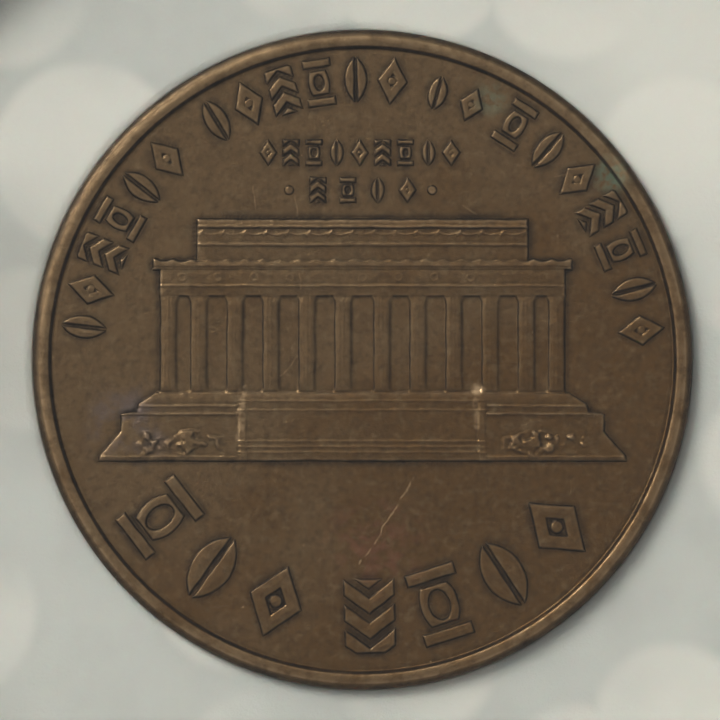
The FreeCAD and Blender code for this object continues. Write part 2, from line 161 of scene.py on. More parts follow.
def flat_boxes(boxes: np.ndarray, low: float, high: float) -> Surface:
    """Thin closed boxes, each from a row of left, right, foot and head.

    Args:
        boxes: One row for each box.
        low: The level of their undersides.
        high: The level of their tops.

    Returns:
        One surface that holds every box.
    """
    left, right, foot, head = boxes.T
    corners = [(left, foot), (right, foot), (right, head), (left, head)]
    points = np.stack(
        [
            np.stack([px, py, np.full_like(px, level)], axis=-1)
            for level in (low, high)
            for px, py in corners
        ],
        axis=1,
    )
    sides = [[i, (i + 1) % 4, 4 + (i + 1) % 4, 4 + i] for i in range(4)]
    quads = np.array([[3, 2, 1, 0], [4, 5, 6, 7], *sides])
    shift = (np.arange(len(boxes)) * 8)[:, None, None]
    return Surface(
        points.reshape(-1, 3), (quads[None] + shift).reshape(-1, 4), np.zeros((0, 3), int)
    )


def ribbon(x: np.ndarray, y: np.ndarray, width: float, low: float, high: float) -> Surface:
    """A thin closed ribbon of square section along a closed flat curve.

    Each point moves half a width along the curve's normal, the tangent turned a quarter turn,
    to give the inner and outer edge, at the low and the high level.

    Args:
        x: The curve's points across.
        y: The curve's points up.
        width: The ribbon's width.
        low: The level of its underside.
        high: The level of its top.

    Returns:
        The ribbon.
    """
    along = np.stack([np.roll(x, -1) - np.roll(x, 1), np.roll(y, -1) - np.roll(y, 1)], axis=-1)
    along /= np.linalg.norm(along, axis=-1, keepdims=True)
    side = np.stack([along[:, 1], -along[:, 0]], axis=-1) * width / 2
    place = np.stack([x, y], axis=-1)
    outer, inner = place + side, place - side
    section = [(inner, low), (outer, low), (outer, high), (inner, high)]
    rings = np.stack(
        [np.column_stack([edge, np.full(len(x), level)]) for edge, level in section], axis=1
    )
    index = np.arange(len(x) * 4).reshape(-1, 4)
    after = np.roll(index, -1, axis=0)
    quads = np.stack(
        [index, np.roll(index, -1, axis=1), np.roll(after, -1, axis=1), after], axis=-1
    )
    return Surface(rings.reshape(-1, 3), quads.reshape(-1, 4)[:, ::-1])


def join(surfaces: list[Surface]) -> Surface:
    """Put several surfaces into one, each with its own faces.

    Args:
        surfaces: What to put together. All have the same marks.

    Returns:
        One surface.
    """
    starts = np.cumsum([0] + [len(each.points) for each in surfaces[:-1]])
    names = surfaces[0].marks
    return Surface(
        np.concatenate([each.points for each in surfaces]),
        np.concatenate([each.quads + start for each, start in zip(surfaces, starts)]),
        np.concatenate([each.triangles + start for each, start in zip(surfaces, starts)]),
        {name: np.concatenate([each.marks[name] for each in surfaces]) for name in names},
    )


class Side(Enum):
    """Which side of the slab a piece faces, and the sign that its across and out are taken with."""

    FRONT = 1.0
    BACK = -1.0


@dataclass(frozen=True)
class Seat:
    """Where a piece lies: its middle in the slab's frame, in metres, and the side it faces."""

    middle: Point
    side: Side = Side.FRONT

    def place(self, points: np.ndarray) -> np.ndarray:
        """Turn (across, up, out) in millimetres into the slab's frame in metres."""
        sign = self.side.value
        return np.array(self.middle) + points * MM * np.array([sign, 1.0, sign])


def make_object(
    name: str,
    surface: Surface,
    seat: Seat,
    material: Material,
    smooth: bool = True,
) -> bpy.types.Object:
    """Make a Blender object of a surface, with its place kept in its mesh.

    Args:
        name: The piece's name.
        surface: The flat-drawn surface.
        seat: Where it lies.
        material: Its finish.
        smooth: True to shade it smooth.

    Returns:
        The object, at the origin.
    """
    mesh = bpy.data.meshes.new(name)
    mesh.vertices.add(len(surface.points))
    mesh.vertices.foreach_set("co", seat.place(surface.points).ravel())
    corners = np.concatenate([surface.quads.ravel(), surface.triangles.ravel()])
    mesh.loops.add(len(corners))
    mesh.loops.foreach_set("vertex_index", corners.astype(np.int32))
    quad_count, triangle_count = len(surface.quads), len(surface.triangles)
    starts = np.concatenate(
        [np.arange(quad_count) * 4, quad_count * 4 + np.arange(triangle_count) * 3]
    )
    mesh.polygons.add(len(starts))
    mesh.polygons.foreach_set("loop_start", starts.astype(np.int32))
    mesh.polygons.foreach_set("use_smooth", np.full(len(starts), smooth))
    mesh.update(calc_edges=True)
    for mark, values in surface.marks.items():
        attribute = mesh.attributes.new(mark, "FLOAT", "POINT")
        attribute.data.foreach_set("value", values.astype(np.float32))
    mesh.materials.append(material)
    made = bpy.data.objects.new(name, mesh)
    bpy.context.scene.collection.objects.link(made)
    log.info("%s: %d faces", name, len(starts))
    return made


class Grain:
    """Smooth seeded noise over the plane, the same each run."""

    def __init__(self, seed: int, lattice: int = 64) -> None:
        """Fill a square lattice with values from -1 to 1."""
        self.values = np.random.default_rng(seed).uniform(-1, 1, (lattice, lattice))

    def at(self, x: np.ndarray, y: np.ndarray, size: float) -> np.ndarray:
        """Blend the four lattice values round each point by smooth steps.

        Args:
            x: Points across.
            y: Points up.
            size: The lattice's pitch.

        Returns:
            A value from -1 to 1 for each point.
        """
        u, v = np.asarray(x) / size, np.asarray(y) / size
        column, row = np.floor(u).astype(int), np.floor(v).astype(int)
        blend_u, blend_v = smooth_step(u - column), smooth_step(v - row)
        count = len(self.values)
        a = self.values[row % count, column % count]
        b = self.values[row % count, (column + 1) % count]
        c = self.values[(row + 1) % count, column % count]
        d = self.values[(row + 1) % count, (column + 1) % count]
        return (a * (1 - blend_u) + b * blend_u) * (1 - blend_v) + (
            c * (1 - blend_u) + d * blend_u
        ) * blend_v


def box_blur(values: np.ndarray, reach: int) -> np.ndarray:
    """Mean of the values within a reach along the last two axes, by running sums.

    Args:
        values: Values on a grid, or on several.
        reach: How many steps each way the mean takes in.

    Returns:
        The means, in the same places.
    """
    for axis in (-1, -2):
        pad = [(0, 0)] * values.ndim
        pad[axis] = (reach + 1, reach)
        sums = np.cumsum(np.pad(values, pad, mode="edge"), axis=axis)
        count = values.shape[axis]
        far = np.take(sums, np.arange(2 * reach + 1, 2 * reach + 1 + count), axis=axis)
        near = np.take(sums, np.arange(count), axis=axis)
        values = (far - near) / (2 * reach + 1)
    return values


# ---- the coin's artwork ----------------------------------------------------------------------


class Motif(Enum):
    """The ornaments that the coin's bands are made of."""

    CHEVRONS = 0
    LOZENGE = 1
    LEAF = 2
    BEAD = 3


@dataclass(frozen=True)
class Wall:
    """How relief rises out of the field: a smooth step as wide as the wall, then a soft dome."""

    width: float = 0.085
    dome: float = 0.25
    dome_share: float = 0.14

    def rise(self, inside: np.ndarray) -> np.ndarray:
        """From 0 outside to 1 well inside, with the last of it over the dome's width."""
        step = smooth_step(inside / self.width + 0.5)
        return step * (1 - self.dome_share + self.dome_share * smooth_step(inside / self.dome))


BROAD, FINE = Wall(), Wall(0.055, 0.1)


def inside_box(
    x: np.ndarray, y: np.ndarray, left: float, right: float, foot: float, head: float
) -> np.ndarray:
    """How far inside a box each point is, by its nearest side. Outside is negative."""
    return np.minimum(np.minimum(x - left, right - x), np.minimum(y - foot, head - y))


def inside_bar(x: np.ndarray, y: np.ndarray, half_width: float, foot: float, head: float) -> np.ndarray:
    """How far inside a box about the middle line each point is."""
    return inside_box(x, y, -half_width, half_width, foot, head)


def line_at(y: np.ndarray, level: float, half_width: float) -> np.ndarray:
    """How far inside a level line each point is."""
    return half_width - np.abs(y - level)


@dataclass(frozen=True)
class Line:
    """A raised level line: its middle up the coin, half width and height, in millimetres."""

    level: float
    half_width: float
    height: float

    def rise(self, y: np.ndarray) -> np.ndarray:
        """The line's height at each point up."""
        return self.height * FINE.rise(line_at(y, self.level, self.half_width))


@dataclass(frozen=True)
class Band:
    """A row of motifs, round the coin or straight across it, in millimetres and degrees.

    On a straight row, reach is the height of the row's middle, and start and step run across.
    """

    reach: float
    height: float
    width: float
    stroke: float
    start: float
    step: float
    count: int
    straight: bool = False
    only: Motif | None = None

    def frames(self) -> np.ndarray:
        """Each motif's middle across and up, and the angle that its own up is turned by.

        Returns:
            Three rows, with one value for each motif.
        """
        place = self.start + np.arange(self.count) * self.step
        if self.straight:
            return np.stack([place, np.full(self.count, self.reach), np.zeros(self.count)])
        angle = np.radians(place)
        middle = self.reach + self.height / 2
        return np.stack([middle * np.cos(angle), middle * np.sin(angle), angle - math.pi / 2])

    def inside(self, number: int, u: np.ndarray, v: np.ndarray) -> np.ndarray:
        """How far inside a motif's strokes each point is, from the motif's own middle.

        Args:
            number: Which motif along the row.
            u: Points across it.
            v: Points up it.

        Returns:
            A distance, negative outside.
        """
        a, b, half = self.width / 2, self.height / 2, self.stroke / 2
        motif = self.only or Motif((number * 3 + self.count) % len(Motif))
        if motif is Motif.LOZENGE:
            edge = (1 - np.abs(u) / (a * 1.08) - np.abs(v) / b) * a * b / math.hypot(a, b)
            return np.maximum(half - np.abs(edge - half), half - np.hypot(u, v))
        if motif is Motif.LEAF:
            offset = (b * b - a * a * 0.64) / (1.6 * a)
            blade = offset + 0.8 * a - np.hypot(np.abs(u) + offset, v)
            return np.minimum(blade, np.abs(u) - half * 0.3)
        if motif is Motif.BEAD:
            ring = half * 0.85 - np.abs(np.hypot(u * b / a, v) * a / b * 1.25 - a + half)
            bars = inside_bar(u, np.abs(v), a, b - self.stroke * 0.9, b)
            return np.maximum(np.minimum(ring, b - self.stroke * 1.3 - np.abs(v)), bars)
        pitch = self.stroke * 1.9
        level = v + 0.75 * np.abs(u) + pitch * 0.4
        stripe = half - np.abs(level - pitch * np.round(level / pitch)) * 0.8
        return np.minimum(stripe, np.minimum(a - np.abs(u), b - np.abs(v)))


FRONT_BANDS = {
    "upper_band": (
        Band(7.42, 1.34, 0.8, 0.25, 173.2, -7.8, 6),
        Band(7.42, 1.34, 0.8, 0.25, 121.4, -7.5, 6),
        Band(7.5, 1.0, 0.66, 0.22, 74.3, -7.4, 2),
        Band(7.42, 1.34, 0.8, 0.25, 57.1, -8.5, 7),
    ),
    "lower_band": (
        Band(6.32, 2.14, 1.45, 0.38, 217.8, 16.2, 3),
        Band(6.32, 2.14, 1.45, 0.38, 271.6, 15.9, 4),
    ),
    "motto_rows": (
        Band(5.98, 0.74, 0.46, 0.15, -2.72, 0.66, 9, straight=True),
        Band(4.9, 0.72, 0.46, 0.15, -1.28, 0.86, 4, straight=True),
    ),
}
BACK_BANDS = {
    "wreath": (
        Band(6.6, 1.5, 0.9, 0.2, 90, 15, 24, only=Motif.LEAF),
        Band(4.9, 1.4, 0.8, 0.18, 97.5, 20, 18, only=Motif.LEAF),
    ),
    "rosette": (
        Band(0.9, 2.9, 1.3, 0.22, 90, 45, 8, only=Motif.LEAF),
    ),
}
DOTS = ((-2.12, 4.9), (2.01, 4.9))


@dataclass
class Hall:
    """The columned hall on the coin, in millimetres from the coin's middle."""

    relief: float = 0.1
    attic_share: float = 0.72
    cornice_share: float = 1.12
    body_share: float = 0.84
    recess_share: float = 0.22
    pillar_share: float = 0.62
    terrace_share: float = 0.78
    pillar_width: float = 0.46
    pillars: tuple[float, ...] = (0.56, 1.6, 2.64, 3.68, 4.72, 5.6)
    base_foot: float = -2.92
    floor: float = -0.95
    recess_head: float = 1.83
    frieze_head: float = 2.6
    cornice_head: float = 2.86
    attic_foot: float = 2.7
    attic_head: float = 4.07
    half_width: float = 5.85
    cornice_half_width: float = 6.04
    attic_half_width: float = 4.78
    stair_half_width: float = 3.45
    attic_lines: tuple[Line, ...] = (Line(3.845, 0.035, 0.02), Line(3.335, 0.045, 0.03))
    architrave_line: Line = Line(2.14, 0.03, 0.024)
    cornice_groove: Line = Line(2.665, 0.02, 0.02)
    wing_lines: tuple[Line, ...] = (
        Line(-1.33, 0.03, 0.028),
        Line(-1.56, 0.03, 0.034),
        Line(-2.8, 0.03, 0.02),
    )
    stair_levels: tuple[float, ...] = (-1.18, -1.45, -2.34, -2.5, -2.66)
    stair_line: tuple[float, float] = (0.024, 0.014)
    moulding_foot: float = 3.8
    moulding_height: float = 0.034
    crest_pitch: float = 0.52
    crest_height: float = 0.055
    swag_pitch: float = 0.62
    swag_level: float = 3.68
    swag_sag: float = 0.07
    swag_height: float = 0.024
    swag_wear: float = 0.012
    ribbon_level: float = 3.66
    wreath_pitch: float = 1.04
    wreath_level: float = 2.38
    wreath_radius: float = 0.1
    wreath_height: float = 0.009
    wreath_wear: float = 0.006
    capital_flare: float = 0.07
    capital_height: float = 0.16
    base_flare: float = 0.05
    base_height: float = 0.12
    flute_pitch: float = 0.115
    flute_depth: float = 0.025
    block_relief: float = 0.014
    bed_level: float = -2.4
    bed_height: float = 0.05
    terrace_outline: tuple[tuple[float, float], ...] = (
        (-2.95, 7.62),
        (-2.75, 7.58),
        (-2.5, 7.36),
        (-2.05, 6.98),
        (-1.56, 6.97),
        (-1.5, 6.54),
        (-1.26, 6.46),
        (-0.93, 5.95),
    )
    grain: Grain = field(default_factory=lambda: Grain(11))

    def height(self, x: np.ndarray, y: np.ndarray) -> np.ndarray:
        """The hall's height over the field: the highest of its roof, order and terrace.

        Args:
            x: Points across.
            y: Points up.

        Returns:
            A height for each point.
        """
        waver = self.grain.at(x, y, 0.35) * 0.009 + self.grain.at(y, x, 1.1) * 0.007
        height = np.maximum.reduce(
            [self.roof(x, y + waver), self.order(x + waver, y), self.terrace(x + waver, y + waver)]
        )
        struck = self.grain.at(x + 7, y, 0.13) * 0.0035 + self.grain.at(x, y + 7, 0.5) * 0.004
        return height + struck * smooth_step(height / 0.03)

    def roof(self, x: np.ndarray, y: np.ndarray) -> np.ndarray:
        """Attic, cornice with its crest, frieze and architrave.

        Args:
            x: Points across.
            y: Points up.

        Returns:
            A height for each point.
        """
        half, head = self.attic_half_width, self.attic_head
        plate = BROAD.rise(inside_bar(x, y, half, self.attic_foot, head))
        moulding = inside_bar(x, y, half - 0.03, self.moulding_foot, head - 0.02)
        attic = self.relief * self.attic_share * plate
        attic += self.moulding_height * FINE.rise(moulding)
        attic += sum(line.rise(y) for line in self.attic_lines) * plate
        worn = self.swag_height + self.swag_wear * self.grain.at(x, y, 0.7)
        attic += worn * FINE.rise(self.garland(x, y)) * plate
        crest = self.cornice_head + self.crest_height * (
            np.abs(np.sin(x * math.pi / self.crest_pitch)) ** 3
        )
        ledge = inside_bar(x, y, self.cornice_half_width, self.frieze_head, self.attic_head)
        cornice = self.relief * self.cornice_share * BROAD.rise(np.minimum(ledge, crest - y))
        cornice -= self.cornice_groove.rise(y) * (cornice > self.relief / 2)
        body = BROAD.rise(
            inside_bar(x, y, self.half_width, self.recess_head, self.frieze_head + 0.1)
        )
        order = (self.relief * self.body_share + self.architrave_line.rise(y)) * body
        faint = self.wreath_height + self.wreath_wear * self.grain.at(x, y, 1.3)
        order += faint * FINE.rise(self.wreaths(x, y)) * body
        return np.maximum.reduce([attic, cornice, order])

    def garland(self, x: np.ndarray, y: np.ndarray) -> np.ndarray:
        """How far inside the attic's swags, and the slanting ribbons between them, a point is.

        Args:
            x: Points across.
            y: Points up.

        Returns:
            A distance, negative outside.
        """
        pitch, eighth_cosine = self.swag_pitch, 0.71
        u = x - pitch * np.round(x / pitch)
        droop = self.swag_sag * np.cos(u * math.pi / pitch)
        swag = 0.02 - np.abs(y - self.swag_level + droop)
        tilt_x, tilt_y = u - pitch / 2 * np.sign(u), y - self.ribbon_level
        along, across = (tilt_x + tilt_y) * eighth_cosine, (tilt_x - tilt_y) * eighth_cosine
        return np.maximum(swag, np.minimum(0.032 - np.abs(across), 0.1 - np.abs(along)))

    def wreaths(self, x: np.ndarray, y: np.ndarray) -> np.ndarray:
        """How far inside the frieze's small rings a point is."""
        u = x - self.wreath_pitch * np.round(x / self.wreath_pitch)
        return 0.028 - np.abs(np.hypot(u, y - self.wreath_level) - self.wreath_radius)

    def order(self, x: np.ndarray, y: np.ndarray) -> np.ndarray:
        """The recess and its pillars, each steep on the left and soft on the right.

        Args:
            x: Points across.
            y: Points up.

        Returns:
            A height for each point.
        """
        low, high = self.floor, self.recess_head + 0.06
        back = BROAD.rise(inside_bar(x, y, self.half_width, low, high))
        rows = np.array(self.pillars)
        middles = np.concatenate([-rows[::-1], rows])
        u = x - middles[np.abs(x[..., None] - middles).argmin(axis=-1)]
        half = self.pillar_width / 2
        rise = (y - self.recess_head + self.capital_height) / self.capital_height
        flare = self.capital_flare * smooth_step(rise)
        flare = flare + self.base_flare * smooth_step((low + self.base_height - y) / 0.1)
        left = smooth_step((u + half + flare) / 0.07 + 0.5)
        right = smooth_step((half + flare - u) / 0.15 + 0.5)
        shaft = left * right
        rounded = 0.8 + 0.2 * np.cos(np.clip(u / half, -1, 1) * 1.3)
        flutes = self.flute_depth * np.cos(u * TURN / self.flute_pitch)
        ends = Wall(0.08).rise(np.minimum(y - low - 0.04, high - y))
        raised = self.pillar_share * shaft * ends * (rounded + flutes)
        return back * self.relief * (self.recess_share + raised)

    def terrace(self, x: np.ndarray, y: np.ndarray) -> np.ndarray:
        """The stepped terrace: slanting ends, ledges, stairs, end blocks and planting.

        Its half width follows a stepped line of a few levels from the foot up.

        Args:
            x: Points across.
            y: Points up.

        Returns:
            A height for each point.
        """
        levels, reach = np.array(self.terrace_outline).T
        out = np.abs(x)
        side = np.interp(y, levels, reach) - out
        inside = np.minimum(side * 0.85, np.minimum(y - self.base_foot, self.floor + 0.02 - y))
        body = Wall(0.09, 0.2).rise(inside)
        height = self.relief * self.terrace_share * body
        wing = smooth_step((out - self.stair_half_width - 0.1) / 0.1)
        stairs = [Line(level, *self.stair_line) for level in self.stair_levels]
        height += sum(line.rise(y) for line in self.wing_lines) * body * wing
        height += sum(line.rise(y) for line in stairs) * body * (1 - wing)
        block = inside_bar(out - self.stair_half_width, y, 0.1, self.base_foot, self.floor - 0.3)
        height += self.block_relief * FINE.rise(block) * body
        leafy = self.grain.at(x, y, 0.2) + 0.6 * self.grain.at(y + 3, x, 0.11)
        crown = 0.34 + 0.1 * np.sin(out * 4.1) - np.abs(y - self.bed_level)
        bed = smooth_step(crown / 0.12) * smooth_step((out - 3.95) / 0.3)
        bed = bed * smooth_step((6.6 - out) / 0.4)
        return height + self.bed_height * bed * body * smooth_step(leafy * 0.8 + 0.4)


@dataclass
class Coin:
    """The struck coin. Sizes are in millimetres, but its middle is in metres."""

    radius: float
    half_thickness: float
    middle: Point
    rim_width: float = 0.5
    field_drop: float = 0.2
    mark_relief: float = 0.08
    # Share of the worn brightness and painted highlight that the motifs keep.
    mark_wear: float = 0.5
    bevel: float = 0.22
    rim_crown: float = 0.012
    slope_foot: float = 0.09
    slope_head: float = 0.05
    slope_steps: int = 9
    land_steps: int = 6
    round_steps: int = 8
    dish_depth: float = 0.03
    dish_unevenness: float = 0.007
    sink: float = 0.03
    floor: float = -0.09
    pitch: float = 0.021
    back_pitch: float = 0.032
    disc_cells: int = 228
    lap_cells: int = 4
    lap_drop: float = 0.004
    # How far above the mean a point is fully bright, as rubbing and painted highlight.
    wear_height: float = 0.04
    # How deep below the mean a hollow is fully dark, as dirt and painted shade.
    grime_depth: float = 0.035
    # How steep a wall must be to be painted dark, as painted shade.
    steep_gain: float = 2.6
    steep_start: float = 0.75
    bare_height: float = 0.016
    tile_margin: float = 0.095
    hall: Hall = field(default_factory=Hall)
    grain: Grain = field(default_factory=lambda: Grain(5))

    @property
    def level(self) -> float:
        """The field's height over the coin's mid-plane."""
        return self.half_thickness - self.field_drop

    @property
    def scale(self) -> float:
        """How much the artwork grows or shrinks with the coin's field."""
        return (self.radius - self.rim_width) / 9.025

    def dish(self, x: np.ndarray, y: np.ndarray) -> np.ndarray:
        """The field's own shape: a shallow dish with slow unevenness."""
        slow, fine = self.grain.at(x + 20, y + 20, 2.7), self.grain.at(x, y, 0.8) * 0.0022
        bowl = self.dish_depth * ((x**2 + y**2) / self.radius**2 - 0.5)
        return bowl + slow * self.dish_unevenness + fine

    def build(self, material: Material) -> None:
        """Make the blank and every piece of relief on both sides.

        Args:
            material: The coin's finish.
        """
        front, back = Seat(self.middle), Seat(self.middle, Side.BACK)
        blank = make_object("coin_blank", self.blank(), front, material)
        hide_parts("coin")
        hall = self.hall
        strips = {
            "hall_roof": self.strip(hall.recess_head, 4.2, 6.2, 0.021, 0.021),
            "hall_colonnade": self.strip(hall.floor, hall.recess_head, 6.05, 0.02, 0.045),
            "hall_terrace": self.strip(-3.06, hall.floor, 7.75, 0.023, 0.023),
            "row_dots": self.dots(),
        }
        made = [blank]
        made += [make_object(name, shape, front, material) for name, shape in strips.items()]
        for bands, seat, pitch in (
            (FRONT_BANDS, front, self.pitch),
            (BACK_BANDS, back, self.back_pitch),
        ):
            made += [
                make_object(f"coin_{name}", self.marks(rows, pitch), seat, material)
                for name, rows in bands.items()
            ]
        for piece in made:
            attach(piece, "root")

    def tile(self, x: np.ndarray, y: np.ndarray, relief: np.ndarray, cell: float) -> Surface:
        """Turn relief on tiles of points into one closed surface with its worn and painted-highlight
        marks and its dirt and painted-shade marks.

        The first is how far a point stands over the mean of what is round it, for real rubbing and
        painted highlight. The second is how far it lies below that mean, for dirt and painted shade in
        hollows, or how steep it is, for painted shade on steep walls, whichever is more. Bare ground
        sinks under the field, so that only the relief shows.

        Args:
            x: Points across, as (tiles, rows, columns).
            y: Points up, the same.
            relief: The relief's height over the field.
            cell: How far apart the points are.

        Returns:
            The closed tiles.
        """
        # Raised points are lightened, for real rubbing and painted highlight; hollows are darkened, for
        # dirt and painted shade.
        stands = relief - box_blur(relief, max(2, round(0.11 / cell)))
        up, across = np.gradient(relief, axis=(-2, -1))
        step_x = np.hypot(x[0, 0, 1] - x[0, 0, 0], y[0, 0, 1] - y[0, 0, 0])
        step_y = np.hypot(x[0, 1, 0] - x[0, 0, 0], y[0, 1, 0] - y[0, 0, 0])
        # Painted shade: the steep walls of the relief are painted dark as a thin line.
        slope = box_blur(np.hypot(across / step_x, up / step_y), max(1, round(0.026 / cell)))
        steep = np.clip(self.steep_gain * slope - self.steep_start, 0, 1)
        bare = 1 - smooth_step(relief / self.bare_height)
        height = self.level + self.dish(x, y) + relief - self.sink * bare
        return closed_tiles(
            x,
            y,
            height,
            self.level + self.floor,
            wear=np.clip(stands / self.wear_height, 0, 1),
            grime=np.maximum(np.clip(-stands / self.grime_depth, 0, 1), steep),
        )

    def strip(self, foot: float, head: float, half_width: float, across: float, up: float) -> Surface:
        """One strip of the hall, with its lap slipped under the strips above and below it.

        Args:
            foot: The strip's lower end.
            head: Its upper end.
            half_width: Half of its width.
            across: The step between points across.
            up: The step between points up.

        Returns:
            The closed strip.
        """
        lap = self.lap_cells * up
        u, v = np.meshgrid(
            np.linspace(-half_width, half_width, round(2 * half_width / across) + 1),
            np.linspace(foot - lap, head + lap, round((head - foot + 2 * lap) / up) + 1),
        )
        beyond = np.clip(np.maximum(foot - v, v - head) / lap, 0, 1)
        relief = self.hall.height(u, v) - self.lap_drop * beyond
        return self.tile(u[None] * self.scale, v[None] * self.scale, relief[None], max(across, up))

    def marks(self, bands: tuple[Band, ...], pitch: float) -> Surface:
        """Every motif of some bands, each on a small tile turned to its place.

        Args:
            bands: The bands.
            pitch: How far apart the points are.

        Returns:
            The closed tiles of every motif.
        """
        margin, surfaces = self.tile_margin, []
        for band in bands:
            columns = round((band.width + 2 * margin) / pitch) + 1
            rows = round((band.height + 2 * margin) / pitch) + 1
            u, v = np.meshgrid(
                np.linspace(-1, 1, columns) * (band.width / 2 + margin),
                np.linspace(-1, 1, rows) * (band.height / 2 + margin),
            )
            across, up, turn = band.frames()[:, :, None, None]
            x = across + u * np.cos(turn) - v * np.sin(turn)
            y = up + u * np.sin(turn) + v * np.cos(turn)
            inside = np.stack([band.inside(number, u, v) for number in range(band.count)])
            relief = BROAD.rise(inside + self.grain.at(x, y, 0.3) * 0.01)
            relief *= self.mark_relief * (1 + 0.1 * self.grain.at(x, y, 0.9))
            tiles = self.tile(x * self.scale, y * self.scale, relief, pitch)
            # Motifs keep less of their worn brightness and painted highlight.
            tiles.marks["wear"] *= self.mark_wear
            surfaces.append(tiles)
        return join(surfaces)

    def dots(self) -> Surface:
        """The two small round stops beside the lower straight row.

        Returns:
            Both stops, each on a tile of its own.
        """
        reach = 0.24
        line = np.linspace(-reach, reach, round(2 * reach / self.pitch) + 1)
        u, v = np.meshgrid(line, line)
        across, up = np.array(DOTS).T[:, :, None, None]
        relief = self.mark_relief * 0.8 * BROAD.rise(0.13 - np.hypot(u, v))
        relief = np.repeat(relief[None], len(DOTS), axis=0)
        return self.tile((across + u) * self.scale, (up + v) * self.scale, relief, self.pitch)

    def artwork(self, x: np.ndarray, y: np.ndarray) -> np.ndarray:
        """The height of the whole front relief over the field.

        Args:
            x: Points across.
            y: Points up.

        Returns:
            A height for each point.
        """
        u, v = x / self.scale, y / self.scale
        found = self.hall.height(u, v)
        for band in sum(FRONT_BANDS.values(), ()):
            for number, (across, up, turn) in enumerate(band.frames().T):
                near = np.hypot(u - across, v - up) < band.height
                right, above = u[near] - across, v[near] - up
                inside = band.inside(
                    number,
                    right * math.cos(turn) + above * math.sin(turn),
                    above * math.cos(turn) - right * math.sin(turn),
                )
                found[near] = np.maximum(found[near], self.mark_relief * BROAD.rise(inside))
        return found

    def blank(self) -> Surface:
        """The struck blank: front field, rims, edge and back field in one closed surface.

        The front field is a square grid pressed into a circle. A point's distance from the
        middle is the larger of its two coordinates, and its angle runs evenly along that side
        of the square. Rings of the same count then follow the rim's section to the back.

        Returns:
            The closed blank, with its worn rim and painted highlight, and its dirt and painted shade.
        """
        count = self.disc_cells
        line = np.linspace(-1, 1, count + 1)
        a, b = np.meshgrid(line, line)
        wide = np.abs(a) >= np.abs(b)
        reach = np.where(wide, a, b)
        safe = np.where(reach == 0, 1, reach)
        eighth = math.pi / 4
        angle = np.where(wide, eighth * b / safe, 2 * eighth - eighth * a / safe)
        section = self.rim_section()
        inner = section[0, 0] - 0.03
        x, y = inner * reach * np.cos(angle), inner * reach * np.sin(angle)
        relief = self.artwork(x, y)
        # Painted shade: a dark outline on the field round every piece of relief.
        shade = np.abs(relief - box_blur(relief, max(1, round(0.13 * count / inner / 2))))
        flat = np.stack([x, y, self.level + self.dish(x, y)], axis=-1).reshape(-1, 3)

        loop = grid_border(count + 1, count + 1)
        around = flat[loop, :2] / inner
        radius, height, wear, grime = section.T[:, :, None]
        ones = np.ones((1, len(loop)))
        dents = self.grain.at(around[None, :, 0] * 9 + height, around[None, :, 1] * 9, 0.5)
        rings = np.stack(
            [
                radius * around[None, :, 0] + dents * wear * 0.006,
                radius * around[None, :, 1],
                height * ones + dents * wear * np.sign(height) * 0.007,
            ],
            axis=-1,
        ).reshape(-1, 3)
        points = np.concatenate([flat, rings, [[0, 0, -self.level]]])
        chain = np.concatenate([loop, len(flat) + np.arange(len(rings))]).reshape(-1, len(loop))
        middle = np.full(len(loop), len(points) - 1)
        return Surface(
            points,
            np.concatenate([grid_quads(count + 1, count + 1), ring_quads(chain)]),
            np.stack([middle, np.roll(chain[-1], -1), chain[-1]], axis=-1),
            {
                "wear": np.concatenate([np.zeros(len(flat)), (wear * ones).ravel(), [0]]),
                "grime": np.concatenate(
                    [np.clip(shade.ravel() / 0.034, 0, 1), (grime * ones).ravel(), [0]]
                ),
            },
        )

    def rim_section(self) -> np.ndarray:
        """The rim's section from the front field, over the edge, to near the middle of the back.

        Returns:
            Rows of radius, height, worn brightness and dark. The front half is a smooth step up the
            inner slope, a land with a slight crown and a quarter round. The back half mirrors it. The
            bright is real rubbing and a painted highlight along the slope's top and the land's outer
            end; the dark is dirt and painted shade down the inner slope, and painted shade round the
            quarter round.
        """
        top, round_size = self.half_thickness, self.bevel
        inner = self.radius - self.rim_width
        foot, land = inner - self.slope_foot, inner + self.slope_head
        slope = np.linspace(0, 1, self.slope_steps)
        turn = np.linspace(0, math.pi / 2, self.round_steps + 1)[1:]
        across = np.linspace(0, 1, self.land_steps + 1)[1:]
        rise = smooth_step((slope - 0.15) / 0.85)
        crown = self.rim_crown * np.sin(across * math.pi)
        reach = land + (self.radius - round_size - land) * across
        front = np.concatenate(
            [
                np.column_stack([foot + (land - foot) * slope, self.level + self.field_drop * rise]),
                np.column_stack([reach, top + crown]),
                np.column_stack(
                    [
                        self.radius - round_size * (1 - np.sin(turn)),
                        top - round_size * (1 - np.cos(turn)),
                    ]
                ),
            ]
        )
        # Painted highlight over real rubbing: brightest at the slope's top and the land's outer end.
        wear = np.concatenate([0.6 * rise**6, 0.42 + 0.58 * across**4, 0.3 * np.cos(turn) ** 4])
        # Painted shade: dark down the middle of the inner slope and round the outer quarter round.
        grime = np.concatenate(
            [np.sin(rise * math.pi) ** 0.6, np.zeros(self.land_steps), 0.9 * smooth_step(turn / 0.5)]
        )
        half = np.column_stack([front, wear, grime])
        edge = np.array([[self.radius, 0.0, 0.1, 0.3]])
        reach = np.linspace(foot, 0.5, 6)[1:]
        field_rows = np.column_stack([reach, np.full(5, -self.level), np.zeros(5), np.zeros(5)])
        return np.concatenate([half, edge, half[::-1] * [1, -1, 1, 1], field_rows])


# ---- what the case holds ---------------------------------------------------------------------


